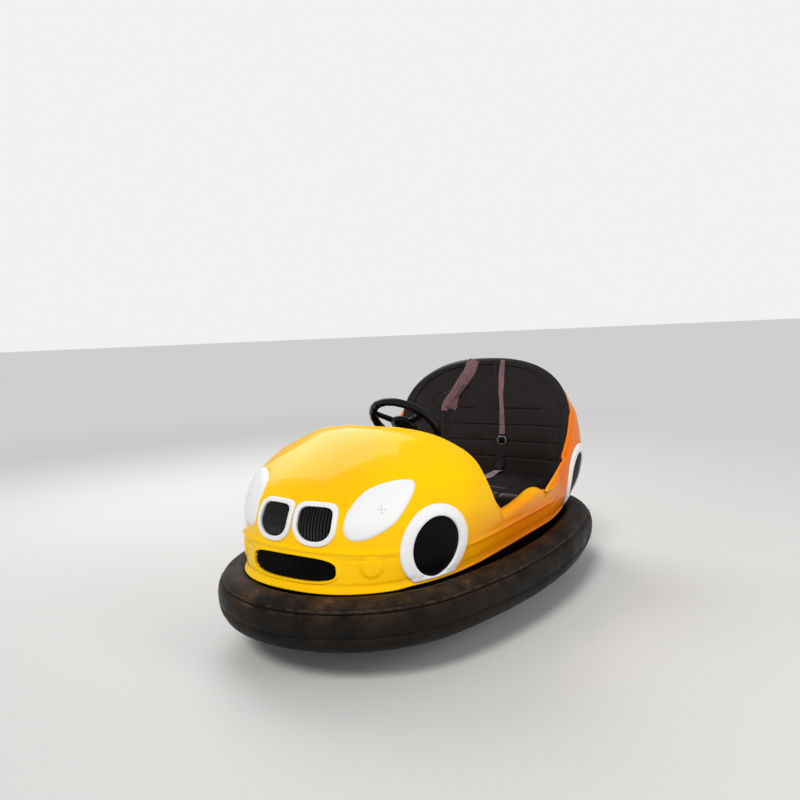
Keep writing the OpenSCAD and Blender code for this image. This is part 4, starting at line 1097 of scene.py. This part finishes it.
class BUMPER_OT_seat(bpy.types.Operator):
    """Makes the seat back with its padded border and panels, and the crowned seat cushion"""
    bl_idname = "bumper.seat"
    bl_label = "Make the seat"

    def execute(self, context):
        outline = seat_outline(400)
        # shares of the way from the middle to the outline, first over the front and then over the rim and the back,
        # and how deep the rim and the back lie behind the front face
        front = np.concatenate([[0.004], np.linspace(0.01, 0.86, 130), np.linspace(0.865, 0.995, 40)])
        behind = np.array([1.0, 1.0, 0.985, 0.8, 0.5, 0.2, 0.004])
        deep = np.append([8, 15, 20], 40 - 20 * behind[3:] ** 3)
        s = np.append(front, behind)
        x, z = outline[:, :1] * s, BACK_MID + outline[:, 1:] * s
        padding = seat_relief(x, z, s[None]) - 6 * s ** 30
        off = np.where(np.arange(len(s)) < len(front), -padding, np.append(0 * front, deep))
        grid = np.stack([x, seat_face(x, z) + off, z], -1)
        back_pad = outward(add_mesh("seat_bucket", grid, capped_faces(*x.shape), "seat_hide", slot="seat_hide",
                                    replaces=("seat_back",)))
        self.cushion()
        return {"FINISHED"}

    @staticmethod
    def cushion():
        """Seat cushion: a crowned top whose edge is rounded off by a quarter circle, with sewn channels and a puff
        between them, over walls that are drawn in a little at mid height."""
        nu, nv = 180, 120
        u = np.linspace(-1, 1, nu)[:, None]
        v = np.linspace(0, 1, nv)[None]
        x = CUSHION_HALF_W * np.sign(u) * (1 - (1 - np.abs(u)) ** 1.35)
        rear = seat_face(x, CUSHION_Z) - 8
        y = CUSHION_Y + (rear - CUSHION_Y) * v
        from_side, from_front = CUSHION_HALF_W - np.abs(x), y - CUSHION_Y
        edge = np.clip(np.minimum(np.minimum(from_side / 30, from_front / 34), (rear - y) / 16), 0, 1)
        round_off = 30 * (1 - np.sqrt(1 - (1 - edge) ** 2))
        crown = 7 * (1 - (np.abs(x) / CUSHION_HALF_W) ** 3) * np.sin(np.pi * v) ** 0.8
        inside = PAD_HALF - np.abs(x)
        past_seam = from_front - PAD_SEAM
        sewn = bump(inside, 5) + bump(past_seam, 5) * step(inside, 3) + bump(x, 5) * step(past_seam, 3)
        puff = 5 * np.abs(np.sin(np.pi * np.clip(np.abs(x) / PAD_HALF, 0, 1))) * step(inside, 8)
        z = CUSHION_Z - 4 + crown + puff - 5 * sewn - round_off
        top = np.stack(np.broadcast_arrays(x, y, z), -1)
        ring_top = np.concatenate([top[:, 0], top[-1, 1:], top[-2::-1, -1], top[0, -2:0:-1]])
        ring_low = ring_top.copy()
        ring_low[:, 2] = CUSHION_LOW + 1
        mid = (ring_top + ring_low) / 2
        mid[:, 0] *= 0.992
        k, total = len(ring_top), nu * nv
        faces = grid_faces(nu, nv).tolist() + grid_faces(3, k, False, True, total).tolist()
        faces.append([total + 2 * k + i for i in range(k)])
        points = np.concatenate([top.reshape(-1, 3), ring_top, mid, ring_low])
        pad = outward(add_mesh("seat_pad", points, faces, "seat_hide", slot="seat_hide", replaces=("seat_cushion",)))


def strap(name, middle, across, width, material="belt_webbing", thick=2.4, **kw):
    """Flat strap: a thin rounded section carried along a path, with the direction across the strap at each point. Its
    UV is the length along the path in metres and the share of the way across."""
    across = unit(across)
    normal = unit(np.cross(np.gradient(middle, axis=0), across))
    t = circle(16)
    section = np.stack([width / 2 * power(np.cos(t), 0.25), thick / 2 * np.sin(t)], -1)
    obj = swept(name, middle, across, normal, section, material, False, slot="belt_webbing", **kw)
    co = np.zeros(len(obj.data.vertices) * 3)
    obj.data.vertices.foreach_get("co", co)
    co = co.reshape(-1, 3) / MM
    near = np.argmin(((co[:, None] - middle[None]) ** 2).sum(-1), 1)
    offset = np.sum((co - middle[near]) * across[near], 1)
    set_uv(obj, run_length(middle)[near] * MM, offset / width + 0.5)


def on_seat(x, z, off):
    """Points at a distance off the seat back's padded face."""
    s = np.clip(np.hypot(x / SEAT_HALF_W, (z - BACK_MID) / (SEAT_TOP - BACK_MID)), 0, 0.9)
    rise = np.clip(seat_relief(x, z, s), 0, 12)
    return np.stack([x, seat_face(x, z) - rise - off, z], -1)


class BUMPER_OT_belts(bpy.types.Operator):
    """Makes the two shoulder belts, one twisted, with their buckle and the lap end on the cushion"""
    bl_idname = "bumper.belts"
    bl_label = "Make the belts"

    def execute(self, context):
        # each strap: name, rows of x, z and distance off the seat, rows of share and roll in degrees, width, finish
        # the darker finish on some straps is painted shade on the one webbing
        for name, rows, rolls, width, material, extra in (
            ("belt_wide",
             [(-66, 952, 4), (-86, 905, 5), (-118, 860, 7), (-150, 815, 6), (-185, 765, 5), (-204, 730, 6),
              (-210, 705, 6)],
             [(0, 0), (0.25, 12), (0.6, -8), (0.85, 25), (1, 60)], 56, "belt_webbing",
             {"thick": 2.6, "replaces": ("seat_belts",)}),
            ("belt_wide_inner",
             [(-82, 940, 8), (-100, 880, 12), (-112, 835, 14), (-139, 795, 11), (-160, 750, 9), (-172, 715, 6)],
             [(0, 10), (0.4, 70), (0.6, 95), (0.8, 50), (1, 30)], 44, "belt_webbing", {}),
            ("belt_wide_low", [(-206, 722, 4), (-212, 640, 5), (-205, 560, 6), (-190, 470, 8)],
             [(0, 30), (1, 5)], 40, "shaded_webbing", {}),
            ("belt_narrow", [(52, 952, 4), (56, 880, 4), (70, 800, 5), (78, 740, 5), (86, 660, 7), (92, 600, 8)],
             [(0, 20), (0.4, 70), (1, 60)], 26, "shaded_webbing", {}),
            ("belt_narrow_inner", [(84, 950, 4), (80, 880, 5), (84, 800, 7), (90, 740, 7), (94, 660, 8), (96, 605, 9)],
             [(0, -10), (0.5, 60), (1, 40)], 26, "belt_webbing", {}),
            ("belt_tail", [(94, 556, 9), (96, 520, 9), (92, 470, 12), (84, 448, 26)],
             [(0, 30), (1, 0)], 34, "shaded_webbing", {}),
        ):
            middle = self.path(np.array(rows, float))
            strap(name, middle, self.across(middle, rolls), width, material, **extra)
        self.buckle()
        self.lap()
        return {"FINISHED"}

    @staticmethod
    def path(rows, n=60):
        """Path of n points on the seat: straight through the rows, then a moving Hann average with reflected ends."""
        t = np.linspace(0, len(rows) - 1, n)
        kernel = np.hanning(9) / np.hanning(9).sum()
        soft = [np.interp(t, np.arange(len(rows)), column) for column in rows.T]
        return on_seat(*[np.convolve(np.pad(q, 4, "reflect", reflect_type="odd"), kernel, "valid") for q in soft])

    @staticmethod
    def across(points, rolls):
        """Direction across a strap: level on the seat and square to the path, then rolled about the path."""
        run = unit(np.gradient(points, axis=0))
        flat = unit(np.cross(run, np.array([0, -1.0, 0.12])))
        roll = np.radians(np.interp(np.linspace(0, 1, len(points)), *zip(*rolls)))[:, None]
        return flat * np.cos(roll) + np.cross(flat, run) * np.sin(roll)

    @staticmethod
    def lap():
        """Lap strap that lies on the cushion: it rises over the crown and turns down at its end."""
        t = np.linspace(0, 1, 50)
        middle = np.stack([84 + 60 * t - 30 * t ** 2, 520 - 250 * t,
                           437 + 6 * np.sin(np.pi * t) + 4 * np.sin(9 * t) * t], -1)
        strap("belt_lap", middle, np.stack([1 + 0 * t, 0.2 + 0 * t, 0.12 * np.sin(7 * t)], -1), 44)

    @staticmethod
    def buckle():
        """Plated buckle: a rounded frame with a dark latch, both superellipse sections."""
        x, z = 95.0, 577.0
        place = on_seat(np.array([x]), np.array([z]), np.array([9.0]))[0]
        t = circle(64)
        c, s = np.cos(t), np.sin(t)
        ring = place + np.stack([20 * power(c, 0.45), 0 * t, 17 * power(s, 0.45)], -1)
        tube("buckle_frame", ring, 3.4, "bright_plate", 10, True, slot="bright_metal", replaces=("belt_buckle",))
        share = np.linspace(0.02, 1, 10)
        across, up = 18 * power(c, 0.4)[:, None] * share, 15 * power(s, 0.4)[:, None] * share
        front = place + np.stack([across, 0 * across - 4 - 5 * (1 - share ** 4), up], -1)
        rear = front[:, ::-1].copy()
        rear[..., 1] = place[1] + 4
        grid = np.concatenate([front, rear], 1)
        outward(add_mesh("buckle_latch", grid, capped_faces(*grid.shape[:2]), "black_gloss", slot="black_moulding"))


# Steering wheel


# Place of the column's lower joint, the column's direction and length, and radii of the wheel and of its rim's section
DRIVE_Y = -(RING_HALF_L - 633)
JOINT_Z = 521.0
COLUMN_LEAN = math.radians(45)
COLUMN = np.array([0, math.sin(COLUMN_LEAN), math.cos(COLUMN_LEAN)])
COLUMN_L = 305.0
WHEEL_R, GRIP_R = 154.0, 16.5


class BUMPER_OT_steering(bpy.types.Operator):
    """Makes the steering wheel with its thick rim, three spokes and centre pad"""
    bl_idname = "bumper.steering"
    bl_label = "Make the steering wheel"

    def execute(self, context):
        joint = np.array([0, DRIVE_Y, JOINT_Z])
        centre = joint + COLUMN * COLUMN_L
        e1 = np.array([1.0, 0, 0])
        e2 = np.cross(COLUMN, e1)
        t, q = circle(144), circle(18)
        out = np.cos(t)[:, None] * e1 + np.sin(t)[:, None] * e2
        r = WHEEL_R - GRIP_R
        # the rim's underside has 24 shallow finger waves
        finger = 1 + 0.035 * np.cos(24 * t)[:, None] * np.clip(-np.sin(q), 0, 1)[None]
        points = centre + out[:, None] * (r + GRIP_R * finger * np.cos(q))[..., None] \
            + COLUMN * (GRIP_R * 0.94 * finger * np.sin(q))[..., None]
        self.piece("wheel_grip", points, grid_faces(144, 18, True, True), replaces=("steering_rim",))
        for k, angle in enumerate((90, 210, 330)):
            self.spoke(k, centre, e1, e2, math.radians(angle), r)
        # the centre pad is a profile of radius and height turned round the column
        pad = np.array([(0, 6), (20, 5.5), (40, 4), (50, 1), (55, -4), (56, -12), (50, -20), (38, -30), (24, -40),
                        (18, -48), (0, -48)], float)
        t = circle(64)[:, None]
        turned = np.cos(t) * e2 - np.sin(t) * e1
        points = centre + pad[None, :, :1] * turned[:, None] + pad[None, :, 1:] * COLUMN
        self.piece("wheel_pad", points, grid_faces(64, len(pad), True, False))
        return {"FINISHED"}

    @staticmethod
    def piece(name, points, faces, **kw):
        """A closed piece of the steering wheel."""
        outward(add_mesh(name, points, faces, "wheel_plastic", body="steering_wheel", slot="wheel_grip", **kw))

    def spoke(self, k, centre, e1, e2, angle, r):
        """Spoke: a flat rounded section that narrows from the pad and widens again into the rim."""
        n, m = 24, 20
        s, q = np.linspace(0, 1, n), circle(m)
        out = math.cos(angle) * e1 + math.sin(angle) * e2
        side = -math.sin(angle) * e1 + math.cos(angle) * e2
        middle = centre + out * (30 + (r - 30) * s)[:, None] + COLUMN * (-6 + 5 * s ** 2)[:, None]
        half = 21 - 9 * np.sin(np.pi * s) + 4 * s ** 4
        points = middle[:, None] + (half[:, None] * power(np.cos(q), 0.6))[..., None] * side \
            + (7 * np.sin(q))[:, None] * COLUMN
        self.piece(f"wheel_spoke_{k + 1}", points, open_faces(n, m))


# Stage and camera


# The camera fitted to the photo: place in metres, angles in degrees and focal length in pixels of a picture 800 wide
CAMERA = {"place": (1.67265, -2.62574, 1.10581), "yaw": 34.084, "pitch": -5.1965, "roll": -2.4529, "focal_px": 755.14}
PHOTO_PX, SENSOR = 800, 36.0
FLOOR_HALF = 300000
FLOOR_GREY, FLOOR_SPECK, FLOOR_FAR = (0.72, 0.71, 0.69), (0.6, 0.59, 0.57), (0.92, 0.92, 0.91)
SKY_LOW, SKY_HIGH, SKY_POWER = (0.46, 0.47, 0.48), (0.34, 0.36, 0.39), 0.85
BACKDROP, BACKDROP_POWER = (0.93, 0.93, 0.93), 0.95
# Lamps: name, kind, place in metres, size in metres or radians, power, colour and whether gloss mirrors them
LAMPS = (("key", "SUN", (0.6, -3.1, 3.7), 0.3, 1.8, (1.0, 0.98, 0.95), False),
         ("side", "AREA", (4.6, -0.6, 2.2), 2.4, 80, (1.0, 0.99, 0.97), False),
         ("softbox", "AREA", (-2.6, 1.2, 3.2), 2.8, 75, (1.0, 1.0, 1.0), True),
         ("strip", "AREA", (-0.4, -4.4, 1.6), 0.8, 3, (1.0, 1.0, 1.0), True))
LAMP_AIM = (0, 0, 0.4)


class BUMPER_OT_stage(bpy.types.Operator):
    """Makes the pale floor, the soft lights and the camera"""
    bl_idname = "bumper.stage"
    bl_label = "Make the stage"

    def execute(self, context):
        scene = context.scene
        scene.view_settings.view_transform = "Standard"
        self.floor(scene)
        self.sky(scene)
        for lamp in LAMPS:
            self.lamp(scene, *lamp)
        self.camera(scene)
        return {"FINISHED"}

    @staticmethod
    def floor(scene):
        """Pale speckled floor, which fades to a paler grey with the distance from the car."""
        n, bsdf, place = shader("pale_floor", FLOOR_GREY, 0.65)
        speck = n.between(n.noise(place, 60.0, 4.0), 0.3, 0.7)
        base = n.mix(n.times(speck, 0.12), solid(FLOOR_GREY), solid(FLOOR_SPECK))
        distance = n.add("ShaderNodeVectorMath", {0: place}, operation="LENGTH").outputs["Value"]
        n.link(n.mix(n.between(distance, 1.6, 9.0), base, solid(FLOOR_FAR)), bsdf.inputs["Base Color"])
        t = np.linspace(-FLOOR_HALF, FLOOR_HALF, 3) * MM
        x, y = np.meshgrid(t, t, indexing="ij")
        mesh = bpy.data.meshes.new("floor")
        mesh.from_pydata(np.stack([x, y, 0 * x], -1).reshape(-1, 3).tolist(), [], grid_faces(3, 3).tolist())
        mesh.materials.append(bpy.data.materials["finish_pale_floor"])
        floor = bpy.data.objects.new("floor", mesh)
        scene.collection.objects.link(floor)

    @staticmethod
    def sky(scene):
        """World light that darkens upwards, and a plain pale backdrop for what the camera and clear pieces see."""
        world = bpy.data.worlds.new("studio")
        scene.world = world
        world.use_nodes = True
        n = Nodes(world.node_tree)
        height = n.split(n.add("ShaderNodeTexCoord").outputs["Generated"])[2]
        back = world.node_tree.nodes["Background"]
        n.link(n.mix(n.between(height, 0.05, 0.75), solid(SKY_LOW), solid(SKY_HIGH)), back.inputs["Color"])
        back.inputs["Strength"].default_value = SKY_POWER
        bright = n.add("ShaderNodeBackground", {"Color": solid(BACKDROP), "Strength": BACKDROP_POWER})
        rays = n.add("ShaderNodeLightPath")
        seen = n.math("MAXIMUM", rays.outputs["Is Camera Ray"], rays.outputs["Is Transmission Ray"])
        both = n.add("ShaderNodeMixShader", {0: seen, 1: back.outputs[0], 2: bright.outputs[0]})
        n.link(both.outputs[0], world.node_tree.nodes["World Output"].inputs[0])

    @staticmethod
    def lamp(scene, name, kind, place, size, power, colour, in_gloss):
        """A lamp that points at the middle of the car."""
        light = bpy.data.lights.new(name, kind)
        if kind == "SUN":
            light.angle = size
        else:
            light.size = size
        light.energy = power
        light.color = colour
        obj = bpy.data.objects.new(name, light)
        obj.visible_glossy = in_gloss
        scene.collection.objects.link(obj)
        obj.location = place
        obj.rotation_euler = (Vector(LAMP_AIM) - Vector(place)).to_track_quat("-Z", "Y").to_euler()

    @staticmethod
    def camera(scene):
        """The fitted camera: its axis from yaw and pitch, then a roll about it. Focal length is pixels times sensor
        width over picture width."""
        yaw, pitch, roll = (math.radians(CAMERA[k]) for k in ("yaw", "pitch", "roll"))
        ahead = Vector((-math.sin(yaw) * math.cos(pitch), math.cos(yaw) * math.cos(pitch), math.sin(pitch)))
        right = ahead.cross(Vector((0, 0, 1))).normalized()
        up = right.cross(ahead)
        across = math.cos(roll) * right + math.sin(roll) * up
        above = -math.sin(roll) * right + math.cos(roll) * up
        data = bpy.data.cameras.new("camera")
        data.sensor_width = SENSOR
        data.sensor_fit = "HORIZONTAL"
        data.lens = CAMERA["focal_px"] * SENSOR / PHOTO_PX
        data.clip_end = 200
        obj = bpy.data.objects.new("camera", data)
        scene.collection.objects.link(obj)
        obj.matrix_world = Matrix.Translation(CAMERA["place"]) @ Matrix((across, above, -ahead)).transposed().to_4x4()
        scene.camera = obj


OPERATORS = (BUMPER_OT_materials, BUMPER_OT_body, BUMPER_OT_nose_trim, BUMPER_OT_wheel_trim, BUMPER_OT_tyre,
             BUMPER_OT_seat, BUMPER_OT_belts, BUMPER_OT_steering, BUMPER_OT_stage)


class BUMPER_PT_panel(bpy.types.Panel):
    """Lists the car's piece groups in the sidebar"""
    bl_idname = "BUMPER_PT_panel"
    bl_label = "Bumper car"
    bl_space_type = "VIEW_3D"
    bl_region_type = "UI"
    bl_category = "Bumper car"

    def draw(self, context):
        for group in (context.scene.bumper_sizes, context.scene.bumper_colours):
            for key in group.__annotations__:
                self.layout.prop(group, key)
        for operator in OPERATORS:
            self.layout.operator(operator.bl_idname)


CLASSES = (BumperCarColours, BumperCarSizes, *OPERATORS, BUMPER_PT_panel)


def register():
    """Registers the classes and gives each scene its colours and sizes."""
    for cls in CLASSES:
        bpy.utils.register_class(cls)
    bpy.types.Scene.bumper_colours = bpy.props.PointerProperty(type=BumperCarColours)
    bpy.types.Scene.bumper_sizes = bpy.props.PointerProperty(type=BumperCarSizes)


def unregister():
    """Takes back what register did, in reverse order."""
    del bpy.types.Scene.bumper_sizes
    del bpy.types.Scene.bumper_colours
    for cls in reversed(CLASSES):
        bpy.utils.unregister_class(cls)


def main():
    """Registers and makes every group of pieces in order."""
    register()
    for operator in OPERATORS:
        group, name = operator.bl_idname.split(".")
        getattr(getattr(bpy.ops, group), name)()


if __name__ == "__main__":
    main()
